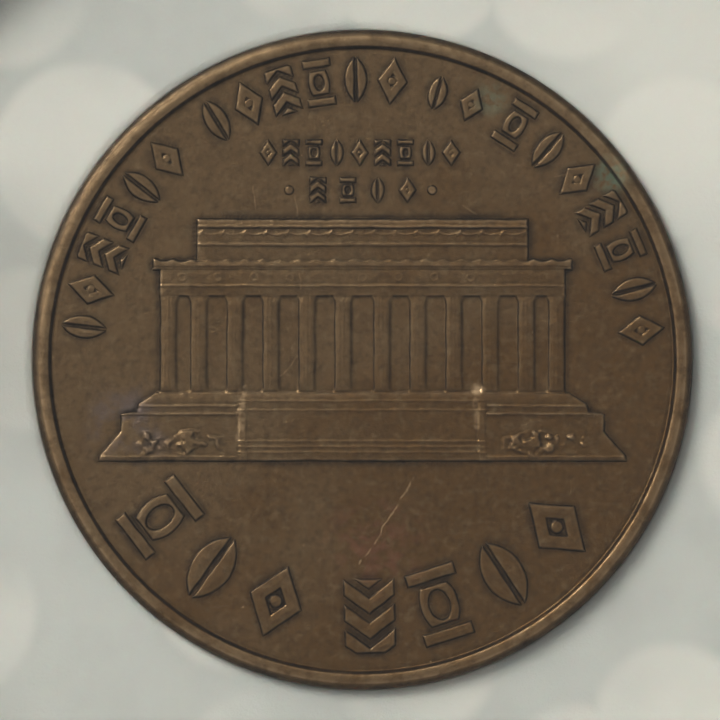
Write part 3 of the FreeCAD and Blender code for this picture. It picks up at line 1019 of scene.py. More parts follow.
def turned_ring(section: np.ndarray, segments: int) -> Surface:
    """Turn a closed section of (radius, height), taken anticlockwise, about the middle.

    Args:
        section: The section's points.
        segments: How many steps once round.

    Returns:
        The closed ring.
    """
    angle = np.linspace(0, TURN, segments, endpoint=False)
    radius, height = section.T[:, :, None]
    points = np.stack(
        [radius * np.cos(angle), radius * np.sin(angle), height + 0 * angle], axis=-1
    )
    closed = np.arange(points.shape[0] * segments).reshape(-1, segments)
    after = np.roll(closed, -1, axis=0)
    quads = np.stack(
        [closed, after, np.roll(after, -1, axis=1), np.roll(closed, -1, axis=1)], axis=-1
    )
    return Surface(points.reshape(-1, 3), quads.reshape(-1, 4)[:, ::-1])


@dataclass
class Core:
    """The plate in the case, shown a hair thinner than it is so that air lies over its faces."""

    node: str
    thinning: float = 0.985

    def build(self, material: Material) -> None:
        """Copy the node's mesh and press it towards its own mid-plane.

        Args:
            material: The plate's finish.
        """
        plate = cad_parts[self.node].copy()
        plate.name = "core_plate"
        plate.data = plate.data.copy()
        bpy.context.scene.collection.objects.link(plate)
        places = np.empty(len(plate.data.vertices) * 3)
        plate.data.vertices.foreach_get("co", places)
        level = node_middle(self.node)[2]
        points = places.reshape(-1, 3)
        points[:, 2] = level + (points[:, 2] - level) * self.thinning
        plate.data.vertices.foreach_set("co", points.ravel())
        for each in plate.material_slots:
            each.material = material
        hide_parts(self.node)
        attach(plate, "root")


@dataclass
class Gasket:
    """The soft ring round the coin. Sizes are in millimetres, but its middle is in metres."""

    outer: float
    half_depth: float
    middle: Point
    coin_radius: float
    air: float = 0.03
    rim: float = 1.4
    web: float = 0.25
    web_steps: int = 26
    web_margin: float = 0.2
    web_end: float = 0.06
    edge_drop: float = 0.02
    bead: float = 0.05
    bead_reach: float = 0.16
    bead_width: float = 0.12
    slow_sway: float = 0.012
    fine_sway: float = 0.004
    round_size: float = 0.12
    segments: int = 360
    grain: Grain = field(default_factory=lambda: Grain(23))

    def build(self, material: Material) -> None:
        """Make the ring, with a faint lip at the coin and slow unevenness in its web.

        Args:
            material: The ring's finish.
        """
        inner, face = self.outer - self.rim, self.half_depth - self.air
        end = self.coin_radius + self.web_end
        reach = np.linspace(inner - self.round_size, end, self.web_steps)
        from_bead = (reach - self.coin_radius - self.bead_reach) / self.bead_width
        lip = self.web + self.bead * np.exp(-(from_bead**2))
        upper = np.concatenate(
            [
                [[self.outer, face - self.round_size]],
                [[self.outer - self.round_size, face]],
                [[inner + self.round_size, face]],
                [[inner, face - self.round_size]],
                [[inner, self.web + self.round_size]],
                np.column_stack([reach, lip]),
                [[self.coin_radius, self.web - self.edge_drop]],
            ]
        )
        surface = turned_ring(
            np.concatenate([upper, upper[::-1] * [1, -1]]), self.segments
        )
        x, y, z = surface.points.T
        on_web = (np.hypot(x, y) < inner - self.web_margin) & (z > 0)
        slow, fine = self.grain.at(x, y, 2.6), self.grain.at(x, y, 0.9)
        sway = slow * self.slow_sway + fine * self.fine_sway
        surface.points[:, 2] = z + sway * on_web
        ring = make_object("gasket_ring", surface, Seat(self.middle), material)
        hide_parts("coin_gasket")
        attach(ring, "root")


@dataclass
class Label:
    """The print on one card. Sizes are in millimetres, but its middle is in metres.

    Its lines of print are plain bars, with no lettering. Ink stands proud by its own thickness.
    """

    name: str
    half_width: float
    half_height: float
    middle: Point
    side: Side = Side.FRONT
    ink: float = 0.015
    margin: float = 1.3
    band_height: float = 3.6
    line_height: float = 1.0
    line_step: float = 2.1
    line_reaches: tuple[float, ...] = (0.52, 0.4, 0.46, 0.3)
    word_lengths: tuple[float, float] = (1.6, 4.2)
    word_gap: float = 0.7
    inset: float = 1.0
    bars: int = 26
    bar_widths: tuple[float, ...] = (0.14, 0.22, 0.32)
    bar_height: float = 3.4
    frame_width: float = 9.5
    frame_height: float = 4.6
    frame_line: float = 0.22
    frame_gap: float = 0.005
    rosette_middle: tuple[float, float] = (6.5, -2.6)
    rosette_radius: float = 2.5
    rosette_swell: float = 1.0
    rosette_lobes: int = 9
    ribbons: int = 6
    ribbon_width: float = 0.07
    bar_pitch: float = 0.42
    seed: int = 3

    def build(self, dark: Material, tint: Material) -> None:
        """Print the header, the lines of print, the row of bars and the line pattern.

        Args:
            dark: The ink of the lines and bars.
            tint: The ink of the header and the pattern.
        """
        seat = Seat(self.middle, self.side)
        prints = [
            make_object(f"{self.name}_header", self.header(), seat, tint, smooth=False),
            make_object(f"{self.name}_lines", self.lines(), seat, dark, smooth=False),
            make_object(f"{self.name}_pattern", self.pattern(), seat, tint, smooth=False),
        ]
        for piece in prints:
            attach(piece, "root")

    def header(self) -> Surface:
        """The coloured band along the head, with a thin rule under it and one at the foot.

        Returns:
            The band and its rules.
        """
        left, right = -self.half_width + self.margin, self.half_width - self.margin
        head = self.half_height - self.margin
        foot = head - self.band_height
        low = -self.half_height + self.margin
        boxes = [(left, right, foot, head), (left, right, foot - 0.5, foot - 0.3)]
        boxes.append((left, right, low, low + 0.2))
        return flat_boxes(np.array(boxes), 0.0, self.ink)

    def lines(self) -> Surface:
        """Short plain bars in place of words, in rows, and upright bars in place of a code.

        Returns:
            Every bar, and a small frame beside them.
        """
        source = np.random.default_rng(self.seed)
        head = self.half_height - self.margin - self.band_height - 1.6
        boxes = []
        for row, reach in enumerate(self.line_reaches):
            level = head - row * self.line_step
            place = -self.half_width + self.margin + self.inset
            end = self.half_width * (2 * reach - 1)
            while place < end:
                word = source.uniform(*self.word_lengths)
                boxes.append((place, min(place + word, end), level - self.line_height, level))
                place += word + self.word_gap
        widths = source.choice(self.bar_widths, self.bars)
        right = self.half_width - self.margin - self.inset
        left = right - self.bars * self.bar_pitch + np.arange(self.bars) * self.bar_pitch
        foot = np.full(self.bars, -self.half_height + self.margin + 1.2)
        columns = np.column_stack([left, left + widths, foot, foot + self.bar_height])
        near, low, thin = right - self.frame_width, head - self.frame_height, self.frame_line
        lower, upper = low + thin + self.frame_gap, head - thin - self.frame_gap
        boxes += [
            (near, right, head - thin, head),
            (near, right, low, low + thin),
            (near, near + thin, lower, upper),
            (right - thin, right, lower, upper),
            (near + 2.2, right - 2.2, low + 1.5, head - 1.5),
        ]
        return flat_boxes(np.concatenate([np.array(boxes), columns]), 0.0, self.ink)

    def pattern(self) -> Surface:
        """A rosette of fine ribbons, each a circle that swells and shrinks evenly round.

        Returns:
            The rosette.
        """
        angle = np.linspace(0, TURN, 360, endpoint=False)
        (across, up), lobes = self.rosette_middle, self.rosette_lobes
        ribbons = []
        for turn in np.linspace(0, TURN / lobes, self.ribbons, endpoint=False):
            reach = self.rosette_radius + self.rosette_swell * np.cos(lobes * (angle + turn))
            x, y = across + reach * np.cos(angle), up + reach * np.sin(angle)
            ribbons.append(ribbon(x, y, self.ribbon_width, 0.0, self.ink * (0.3 + turn)))
        return join(ribbons)


@dataclass
class Seal:
    """The foil seal: a thin disc embossed with rings and rays, in millimetres."""

    radius: float
    half_thickness: float
    middle: Point
    emboss: float = 0.012
    rings: int = 90
    segments: int = 360
    petals: int = 12
    petal_lean: float = 2.4
    lean_rate: float = 1.1
    petal_share: float = 0.72
    ring_pitch: float = 0.55

    def build(self, material: Material) -> None:
        """Make the disc as a polar grid whose height follows rays within rings.

        Args:
            material: The foil.
        """
        reach = np.linspace(0.02, 1, self.rings) * self.radius
        angle = np.linspace(0, TURN, self.segments, endpoint=False)
        radius, turn = reach[:, None], angle[None]
        lean = self.petal_lean * np.sin(radius * self.lean_rate)
        petals = 0.5 + 0.5 * np.cos(self.petals * turn + lean)
        inner = smooth_step((self.radius * self.petal_share - radius) / 0.2)
        rings = 0.5 + 0.5 * np.cos(radius * TURN / self.ring_pitch)
        height = self.half_thickness + self.emboss * (petals * inner + rings * (1 - inner))
        top = np.stack([radius * np.cos(turn), radius * np.sin(turn), height], axis=-1)
        low = top[-1].copy()
        low[:, 2] = -self.half_thickness
        ends = [[0, 0, self.half_thickness + self.emboss], [0, 0, -self.half_thickness]]
        points = np.concatenate([top.reshape(-1, 3), low, ends])
        chain = np.arange((self.rings + 1) * self.segments).reshape(-1, self.segments)
        hub, sole = np.full(self.segments, len(points) - 2), np.full(self.segments, len(points) - 1)
        first, last = chain[0], chain[-1]
        fans = [[hub, first, np.roll(first, -1)], [sole, np.roll(last, -1), last]]
        triangles = np.concatenate([np.stack(fan, axis=-1) for fan in fans])
        surface = Surface(points, ring_quads(chain), triangles)
        disc = make_object("seal_disc", surface, Seat(self.middle, Side.BACK), material)
        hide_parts("hologram_seal")
        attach(disc, "root")


# ---- finishes --------------------------------------------------------------------------------


class Graph:
    """Short calls that build one node tree."""

    def __init__(self, tree: bpy.types.NodeTree) -> None:
        """Take the tree to build in."""
        self.tree = tree

    def add(self, kind: str, feeds: dict | None = None, **settings: object) -> bpy.types.Node:
        """Add a node, set its settings, and feed its sockets by name or number.

        Args:
            kind: The node's type, without its prefix.
            feeds: A socket or a value for each input.
            **settings: The node's own settings.

        Returns:
            The node.
        """
        node = self.tree.nodes.new(f"ShaderNode{kind}")
        for name, value in settings.items():
            setattr(node, name, value)
        for socket, value in (feeds or {}).items():
            self.feed(node.inputs[socket], value)
        return node

    def feed(self, socket: Socket, value: object) -> None:
        """Link another socket into this one, or set its value.

        Args:
            socket: The input.
            value: An output to link, or a number, colour or vector.
        """
        if isinstance(value, Socket):
            self.tree.links.new(value, socket)
        elif socket.type == "RGBA" and len(value) == 3:
            socket.default_value = (*value, 1.0)
        else:
            socket.default_value = value

    def maths(self, operation: str, *values: object) -> Socket:
        """One step of arithmetic."""
        return self.add("Math", dict(enumerate(values)), operation=operation).outputs[0]

    def times(self, first: object, second: object) -> Socket:
        """One value times another."""
        return self.maths("MULTIPLY", first, second)

    def vector(self, operation: str, *values: object) -> bpy.types.Node:
        """One step of vector arithmetic."""
        return self.add("VectorMath", dict(enumerate(values)), operation=operation)

    def span(self, value: object, low: float, high: float, start: float = 0, end: float = 1) -> Socket:
        """Carry a value from one range smoothly to another, held at its ends.

        Args:
            value: What is carried.
            low: Where the first range starts.
            high: Where it ends.
            start: Where the second range starts.
            end: Where it ends.

        Returns:
            The carried value.
        """
        feeds = {"Value": value, "From Min": low, "From Max": high, "To Min": start, "To Max": end}
        node = self.add("MapRange", feeds, interpolation_type="SMOOTHSTEP")
        return node.outputs["Result"]

    def mix(self, mask: object, first: object, second: object, blend: str = "MIX") -> Socket:
        """Mix two colours by a mask."""
        feeds = {0: mask, 6: first, 7: second}
        return self.add("Mix", feeds, data_type="RGBA", blend_type=blend).outputs[2]

    def mask(self, name: str) -> Socket:
        """A value kept on the mesh."""
        return self.add("Attribute", attribute_name=name).outputs["Fac"]

    def place(self, middle: Point = (0, 0, 0)) -> Socket:
        """The point in millimetres from a place in the slab's frame.

        Args:
            middle: The place, in metres.

        Returns:
            A vector.
        """
        where = self.add("TexCoord").outputs["Object"]
        from_middle = self.vector("SUBTRACT", where, middle).outputs["Vector"]
        return self.vector("MULTIPLY", from_middle, (1000, 1000, 1000)).outputs["Vector"]

    def use(self, group: bpy.types.NodeTree, feeds: dict) -> Socket:
        """The output of a shared group."""
        return self.add("Group", feeds, node_tree=group).outputs[0]

    def bump(self, height: object, depth: float, under: object = None) -> Socket:
        """A normal from a height of 0 to 1 that stands for a depth in millimetres.

        Args:
            height: The height.
            depth: The depth that it stands for.
            under: The normal that it lies over, if any.

        Returns:
            The normal.
        """
        feeds = {"Height": height, "Distance": depth * MM, "Strength": 1.0}
        if under is not None:
            feeds["Normal"] = under
        return self.add("Bump", feeds).outputs["Normal"]


def new_group(name: str, inputs: dict[str, str], output: str) -> tuple[bpy.types.NodeTree, ...]:
    """Make an empty shader group with its sockets, and its input and output nodes.

    Args:
        name: The group's name.
        inputs: The type of each input.
        output: The output's name.

    Returns:
        The group, its input node and its output node.
    """
    group = bpy.data.node_groups.new(name, "ShaderNodeTree")
    for socket, kind in inputs.items():
        group.interface.new_socket(socket, in_out="INPUT", socket_type=kind)
    group.interface.new_socket(output, in_out="OUTPUT", socket_type="NodeSocketFloat")
    return group, group.nodes.new("NodeGroupInput"), group.nodes.new("NodeGroupOutput")


def mottle_group() -> bpy.types.NodeTree:
    """Uneven tone: layered noise at a size, carried from a low and a high to 0 and 1.

    Returns:
        The group.
    """
    floats = {name: "NodeSocketFloat" for name in ("Scale", "Detail", "Low", "High")}
    group, given, made = new_group("mottle", {"Place": "NodeSocketVector"} | floats, "Mask")
    graph = Graph(group)
    noise = graph.add(
        "TexNoise",
        {
            "Vector": given.outputs["Place"],
            "Scale": given.outputs["Scale"],
            "Detail": given.outputs["Detail"],
            "Roughness": 0.62,
        },
    )
    level = graph.span(noise.outputs[0], given.outputs["Low"], given.outputs["High"])
    graph.feed(made.inputs[0], level)
    return group


def scratch_group() -> bpy.types.NodeTree:
    """A straight mark: 1 along the line between two places, fading to 0 at its half width.

    Returns:
        The group.
    """
    vectors = {name: "NodeSocketVector" for name in ("Place", "Start", "End")}
    group, given, made = new_group("scratch", vectors | {"Width": "NodeSocketFloat"}, "Mask")
    graph = Graph(group)
    from_start = graph.vector("SUBTRACT", given.outputs["Place"], given.outputs["Start"])
    run = graph.vector("SUBTRACT", given.outputs["End"], given.outputs["Start"])
    dot = graph.vector("DOT_PRODUCT", from_start.outputs[0], run.outputs[0]).outputs["Value"]
    square = graph.vector("DOT_PRODUCT", run.outputs[0], run.outputs[0]).outputs["Value"]
    clamped = graph.add("Clamp", {"Value": graph.maths("DIVIDE", dot, square)})
    nearest = graph.add(
        "VectorMath", {0: run.outputs[0], "Scale": clamped.outputs[0]}, operation="SCALE"
    )
    gap = graph.vector("DISTANCE", from_start.outputs[0], nearest.outputs[0]).outputs["Value"]
    share = graph.maths("DIVIDE", gap, given.outputs["Width"])
    graph.feed(made.inputs[0], graph.span(share, 1.0, 0.3))
    return group


@dataclass(frozen=True)
class Patch:
    """Uneven patches: the noise's scale per millimetre, its low and high, and its detail."""

    scale: float
    low: float = 0.30
    high: float = 0.70
    detail: float = 4.0


@dataclass(frozen=True)
class Spot:
    """A soft round place, in millimetres from the coin's middle, and how strongly it shows."""

    middle: Point
    reach: float
    share: float


@dataclass(frozen=True)
class Mark:
    """A straight mark on the coin, in millimetres from its middle, and how strongly it shows."""

    start: Point
    end: Point
    width: float
    share: float


@dataclass(frozen=True)
class Patina:
    """The coin's toned bronze: linear colours, and where, how large and how strong they are."""

    tone: Colour = (0.134, 0.080, 0.034)
    warm: Colour = (0.107, 0.054, 0.015)
    shade: Colour = (0.052, 0.028, 0.010)
    pale: Colour = (0.19, 0.135, 0.072)
    # The dark of hollows and steep walls, as dirt and painted shade.
    crevice_dirt_and_shade: Colour = (0.010, 0.006, 0.003)
    # The bright of worn parts, painted highlights and painted glints.
    bright: Colour = (0.46, 0.31, 0.17)
    verdigris: Colour = (0.12, 0.15, 0.10)
    stain: Colour = (0.16, 0.062, 0.034)
    haze: Colour = (0.13, 0.105, 0.105)
    broad: Patch = Patch(0.22)
    # Painted shade: how fast the tone darkens towards the lower right.
    shade_slant: Point = (0.07, -0.08, 0)
    clouds: Patch = Patch(1.3, 0.40, 0.66, 6.0)
    cloud_share: float = 0.42
    specks: Patch = Patch(6.0, 0.46, 0.70, 6.0)
    speck_share: float = 0.5
    dust: Patch = Patch(3.6, 0.48, 0.74, 6.0)
    dust_shift: Point = (31, 17, 5)
    dust_share: float = 0.4
    stained: Spot = Spot((0.4, -5.3, 0), 1.9, 0.6)
    blotches: Patch = Patch(1.9, 0.44, 0.62, 5.0)
    hazed: Spot = Spot((-6.8, -1.9, 0), 1.7, 0.6)
    crusts: tuple[Spot, ...] = (Spot((7.2, 5.35, 0), 0.75, 1.0), Spot((3.7, 7.5, 0), 0.7, 0.5))
    crust_edge: Patch = Patch(3.4, 0.38, 0.56, 6.0)
    # How strongly dirt and painted shade show, and the least that clouds let them show.
    soot_and_shade_share: float = 0.95
    soot_and_shade_least: float = 0.75
    # The patches that break up the worn brightness and painted highlight.
    rubbed_and_highlight: Patch = Patch(2.1, 0.30, 0.62, 5.0)
    rubbed_and_highlight_share: float = 0.42
    scratch: Mark = Mark((1.5, -3.4, 0), (-0.1, -5.9, 0), 0.035, 0.4)
    nicks: int = 9
    nick_share: float = 0.2
    mark_breaks: Patch = Patch(5.0, 0.36, 0.56)
    copper_spot: Spot = Spot((3.3, -0.86, 0), 0.26, 1.0)
    smears: tuple[Mark, ...] = (
        Mark((3.32, -0.9, 0), (3.28, -1.9, 0), 0.14, 0.28),
        Mark((-3.45, -0.8, 0), (-3.52, -2.3, 0), 0.17, 0.42),
    )
    smear_breaks: Patch = Patch(4.5, 0.36, 0.60, 5.0)
    # Painted glints: scattered bright specks of painted highlight.
    glints: Patch = Patch(3.3, 0.70, 0.78)
    glint_share: float = 0.5
    metallic: float = 0.85
    roughness: tuple[float, float] = (0.41, 0.53)
    rubbed_polish: float = 0.12
    crust_roughness: float = 0.3
    grain: Patch = Patch(16.0)
    grain_depth: float = 0.0022
    pits: Patch = Patch(2.4, detail=6.0)
    pit_depth: float = 0.0065
    mark_depth: float = -0.006


@dataclass(frozen=True)
class Milky:
    """The gasket's milky plastic: linear colours, its clouds and its satin grain."""

    tone: Colour = (0.44, 0.447, 0.408)
    other: Colour = (0.385, 0.39, 0.355)
    pale: Colour = (0.66, 0.64, 0.57)
    dull: Colour = (0.27, 0.27, 0.235)
    smears: Patch = Patch(0.5, 0.36, 0.70)
    smear_share: float = 0.5
    cell_scale: float = 0.19
    cell_spread: float = 0.8
    cell_edge: tuple[float, float] = (0.56, 0.47)
    clouds: Patch = Patch(0.12, 0.30, 0.60, 2.0)
    cloud_share: float = 0.55
    # Darker towards the left of the coin.
    left_darker_spot: Spot = Spot((-10.2, 1.2, 0), 5.5, 0.5)
    # Painted highlight: a pale glow over the gasket at the upper right.
    highlight_spot: Spot = Spot((9.8, 9.4, 0), 6.5, 0.55)
    roughness: tuple[float, float] = (0.6, 0.45)
    glow: float = 0.15
    glow_depth: float = 0.0006
    grain: Patch = Patch(8.0, detail=5.0)
    grain_depth: float = 0.006


@dataclass(frozen=True)
class Matt:
    """A plain opaque finish with two tones, its roughness, and its grain in millimetres."""

    tone: Colour
    other: Colour
    roughness: float
    grain_scale: float
    grain_depth: float
    tone_scale_share: float = 0.2
    smoother: float = 0.04
    rougher: float = 0.06


@dataclass(frozen=True)
class Clear:
    """The clear moulded case, its moulding ripples and its scuffs, drawn out across it."""

    tone: Colour = (0.975, 0.985, 0.985)
    index: float = 1.40
    roughness: tuple[float, float] = (0.012, 0.16)
    scuffs: Patch = Patch(0.6, 0.60, 0.74, 8.0)
    drawn: Point = (1, 6, 1)
    ripples: Patch = Patch(0.09, 0.2, 0.8, 1.0)
    ripple_depth: float = 0.0016


@dataclass(frozen=True)
class Foil:
    """The seal's foil: three soft hues that run into each other, and its polish."""

    hues: tuple[Colour, ...] = ((0.62, 0.74, 0.85), (0.70, 0.82, 0.66), (0.86, 0.68, 0.74))
    runs: Patch = Patch(0.35, 0.25, 0.75, 2.0)
    polish: Patch = Patch(5.0)
    roughness: tuple[float, float] = (0.16, 0.3)


class Finishes:
    """Every material of the object, made once, with the two shader groups that they share."""

    def __init__(self, coin_middle: Point) -> None:
        """Make the groups and the materials.

        Args:
            coin_middle: The coin's middle in metres, which its stains are placed from.
        """
        self.mottle = mottle_group()
        self.scratch = scratch_group()
        self.coin = self.toned_bronze(Patina(), coin_middle)
        self.clear = self.clear_plastic(Clear())
        self.gasket = self.milky_plastic(Milky(), coin_middle)
        self.core = self.matt(
            "core_white", Matt((0.56, 0.56, 0.545), (0.52, 0.52, 0.505), 0.55, 5.0, 0.006)
        )
        self.card = self.matt(
            "label_card", Matt((0.66, 0.63, 0.55), (0.60, 0.575, 0.50), 0.5, 6.0, 0.004)
        )
        self.dark_ink = self.matt(
            "dark_ink", Matt((0.010, 0.012, 0.018), (0.02, 0.022, 0.03), 0.42, 7.0, 0.003)
        )
        self.tint_ink = self.matt(
            "tint_ink", Matt((0.010, 0.055, 0.10), (0.016, 0.075, 0.12), 0.4, 7.0, 0.003)
        )
        self.foil = self.seal_foil(Foil())
        self.floor = self.matt(
            "studio_floor", Matt((0.78, 0.78, 0.77), (0.76, 0.76, 0.75), 0.8, 0.15, 0.02)
        )

    @staticmethod
    def start(name: str) -> tuple[Material, Graph, bpy.types.Node]:
        """A material with nodes, its graph and its Principled shader.

        Args:
            name: The material's name.

        Returns:
            The three of them.
        """
        material = bpy.data.materials.new(name)
        material.use_nodes = True
        return material, Graph(material.node_tree), material.node_tree.nodes["Principled BSDF"]

    def patch(self, graph: Graph, place: Socket, look: Patch) -> Socket:
        """A mask of uneven patches, from the shared group."""
        feeds = {"Place": place, "Scale": look.scale, "Detail": look.detail}
        return graph.use(self.mottle, feeds | {"Low": look.low, "High": look.high})

    def streak(self, graph: Graph, place: Socket, look: Mark) -> Socket:
        """A mask of one straight mark, from the shared group."""
        feeds = {"Place": place, "Start": look.start, "End": look.end, "Width": look.width}
        return graph.times(graph.use(self.scratch, feeds), look.share)

    @staticmethod
    def spot(graph: Graph, place: Socket, look: Spot) -> Socket:
        """A soft round mask about a place on the coin.

        Args:
            graph: The material's graph.
            place: The point that the pattern is read at.
            look: Where the spot is.

        Returns:
            The mask.
        """
        flat = graph.vector("MULTIPLY", place, (1, 1, 0)).outputs["Vector"]
        gap = graph.vector("DISTANCE", flat, look.middle).outputs["Value"]
        return graph.times(graph.span(gap, look.reach, look.reach * 0.2), look.share)

    def toned_bronze(self, look: Patina, middle: Point) -> Material:
        """Brown toned bronze: mottled tone, darker towards the lower right as painted shade, dark
        crevices and steep walls of dirt and painted shade, worn edges with painted highlight, painted
        glints, spots and scratches.

        Args:
            look: Its colours and patterns.
            middle: The coin's middle in metres.

        Returns:
            The material.
        """
        material, graph, shader = self.start("toned_bronze")
        place = graph.place(middle)
        # Painted shade: the tone turns to the darker warm one towards the lower right, away from the
        # light.
        slant = graph.vector("DOT_PRODUCT", place, look.shade_slant).outputs["Value"]
        broad = graph.span(graph.maths("ADD", self.patch(graph, place, look.broad), slant), 0, 1)
        cloud = self.patch(graph, place, look.clouds)
        specks = self.patch(graph, place, look.specks)
        moved = graph.vector("ADD", place, look.dust_shift).outputs["Vector"]
        dust = self.patch(graph, moved, look.dust)
        blotches = self.patch(graph, place, look.blotches)
        crust = graph.maths("MAXIMUM", *[self.spot(graph, place, each) for each in look.crusts])
        crust = graph.times(crust, self.patch(graph, place, look.crust_edge))
        # Dirt and painted shade: hollows, steep walls and the rim's slopes go dark.
        soot_and_shade = graph.times(graph.mask("grime"), graph.span(cloud, 0, 1, look.soot_and_shade_least, 1.0))
        marks = self.bag_marks(graph, place, look)
        # Real rubbing and painted highlight: raised points and the rim's land go bright, with bag
        # marks, bright spots and painted glints.
        rubbed_and_highlight = graph.times(graph.mask("wear"), self.patch(graph, place, look.rubbed_and_highlight))
        rubbed_and_highlight = graph.maths("MAXIMUM", graph.times(rubbed_and_highlight, look.rubbed_and_highlight_share), marks)
        rubbed_and_highlight = graph.maths("MAXIMUM", rubbed_and_highlight, self.bright_spots(graph, place, look))
        colour = look.tone
        for mask, tone in (
            (broad, look.warm),
            (graph.times(cloud, look.cloud_share), look.shade),
            (graph.times(specks, look.speck_share), look.shade),
            (graph.times(dust, look.dust_share), look.pale),
            (graph.times(self.spot(graph, place, look.stained), blotches), look.stain),
            (graph.times(self.spot(graph, place, look.hazed), cloud), look.haze),
            (crust, look.verdigris),
            (graph.times(soot_and_shade, look.soot_and_shade_share), look.crevice_dirt_and_shade),
            (rubbed_and_highlight, look.bright),
        ):
            colour = graph.mix(mask, colour, tone)
        graph.feed(shader.inputs["Base Color"], colour)

        shader.inputs["Metallic"].default_value = look.metallic
        rough = graph.span(cloud, 0, 1, *look.roughness)
        rough = graph.maths("SUBTRACT", rough, graph.times(rubbed_and_highlight, look.rubbed_polish))
        rough = graph.maths("ADD", rough, graph.times(crust, look.crust_roughness))
        graph.feed(shader.inputs["Roughness"], rough)
        grain = graph.bump(self.patch(graph, place, look.grain), look.grain_depth)
        pits = graph.bump(self.patch(graph, place, look.pits), look.pit_depth, grain)
        graph.feed(shader.inputs["Normal"], graph.bump(marks, look.mark_depth, pits))
        return material

    def bag_marks(self, graph: Graph, place: Socket, look: Patina) -> Socket:
        """The long scratch under the terrace and a scatter of short seeded nicks, all uneven.

        Args:
            graph: The material's graph.
            place: The point that the pattern is read at.
            look: The coin's finish.

        Returns:
            A mask.
        """
        flat = self.wandering(graph, place, 1.6, 0.34)
        marks = self.streak(graph, flat, look.scratch)
        source = np.random.default_rng(41)
        for _ in range(look.nicks):
            start = source.uniform(-6.2, 6.2, 2)
            end = start + source.normal(0, 0.45, 2)
            width = source.uniform(0.02, 0.04)
            nick = Mark((*start, 0), (*end, 0), width, look.nick_share)
            marks = graph.maths("MAXIMUM", marks, self.streak(graph, flat, nick))
        return graph.times(marks, self.patch(graph, place, look.mark_breaks))

    @staticmethod
    def wandering(graph: Graph, place: Socket, scale: float, reach: float) -> Socket:
        """The place on the coin's plane, moved to and fro so that a line along it wavers.

        Args:
            graph: The material's graph.
            place: The point that the pattern is read at.
            scale: The scale of the wavering.
            reach: How far it goes.

        Returns:
            The moved place.
        """
        noise = graph.add("TexNoise", {"Vector": place, "Scale": scale, "Detail": 4.0})
        sway = graph.vector("SUBTRACT", noise.outputs["Color"], (0.5, 0.5, 0.5)).outputs[0]
        moved = graph.vector("MULTIPLY_ADD", sway, (reach,) * 3, place)
        return graph.vector("MULTIPLY", moved.outputs[0], (1, 1, 0)).outputs["Vector"]

    def bright_spots(self, graph: Graph, place: Socket, look: Patina) -> Socket:
        """The copper spot at a pillar's foot, the worn streaks by the stairs, and specks of painted
        glint.

        Args:
            graph: The material's graph.
            place: The point that the pattern is read at.
            look: The coin's finish.

        Returns:
            A mask.
        """
        moved = self.wandering(graph, place, 3.0, 0.3)
        streaks = graph.maths("MAXIMUM", *[self.streak(graph, moved, each) for each in look.smears])
        streaks = graph.times(streaks, self.patch(graph, place, look.smear_breaks))
        # Painted glints: bright specks of painted highlight.
        glints = graph.times(self.patch(graph, place, look.glints), look.glint_share)
        spots = graph.maths("MAXIMUM", self.spot(graph, moved, look.copper_spot), streaks)
        return graph.maths("MAXIMUM", spots, glints)

    def clear_plastic(self, look: Clear) -> Material:
        """Polished clear plastic with faint moulding ripples and fine scuffs.

        Light passes straight through it for shadows, as it does through a thin clear wall.

        Args:
            look: Its tone, polish and patterns.

        Returns:
            The material.
        """
        material, graph, shader = self.start("clear_case")
        place = graph.place()
        drawn = graph.vector("MULTIPLY", place, look.drawn).outputs["Vector"]
        shader.inputs["Base Color"].default_value = (*look.tone, 1)
        shader.inputs["Transmission Weight"].default_value = 1.0
        shader.inputs["IOR"].default_value = look.index
        rough = graph.span(self.patch(graph, drawn, look.scuffs), 0, 1, *look.roughness)
        graph.feed(shader.inputs["Roughness"], rough)
        ripple = graph.bump(self.patch(graph, place, look.ripples), look.ripple_depth)
        graph.feed(shader.inputs["Normal"], ripple)
        through = graph.add("BsdfTransparent", {"Color": look.tone})
        ray = graph.add("LightPath").outputs["Is Shadow Ray"]
        mixed = graph.add("MixShader", {0: ray, 1: shader.outputs[0], 2: through.outputs[0]})
        graph.feed(material.node_tree.nodes["Material Output"].inputs["Surface"], mixed.outputs[0])
        return material

    def milky_plastic(self, look: Milky, middle: Point) -> Material:
        """Soft milky plastic with pale round clouds, a darker left side, a painted highlight at the
        upper right and a fine satin grain.

        Args:
            look: Its colours and patterns.
            middle: The coin's middle in metres.

        Returns:
            The material.
        """
        material, graph, shader = self.start("cloudy_gasket")
        place = graph.place(middle)
        feeds = {"Vector": place, "Scale": look.cell_scale, "Randomness": look.cell_spread}
        cells = graph.add("TexVoronoi", feeds).outputs["Distance"]
        round_patch = graph.span(cells, *look.cell_edge)
        cloud = graph.times(round_patch, self.patch(graph, place, look.clouds))
        smear = graph.times(self.patch(graph, place, look.smears), look.smear_share)
        colour = look.tone
        for mask, tone in (
            (smear, look.other),
            (graph.times(cloud, look.cloud_share), look.pale),
            # Darker towards the left.
            (self.spot(graph, place, look.left_darker_spot), look.dull),
            # Painted highlight at the upper right.
            (self.spot(graph, place, look.highlight_spot), look.pale),
        ):
            colour = graph.mix(mask, colour, tone)
        graph.feed(shader.inputs["Base Color"], colour)
        graph.feed(shader.inputs["Roughness"], graph.span(cloud, 0, 1, *look.roughness))
        shader.inputs["Subsurface Weight"].default_value = look.glow
        shader.inputs["Subsurface Scale"].default_value = look.glow_depth
        grain = graph.bump(self.patch(graph, place, look.grain), look.grain_depth)
        graph.feed(shader.inputs["Normal"], grain)
        return material

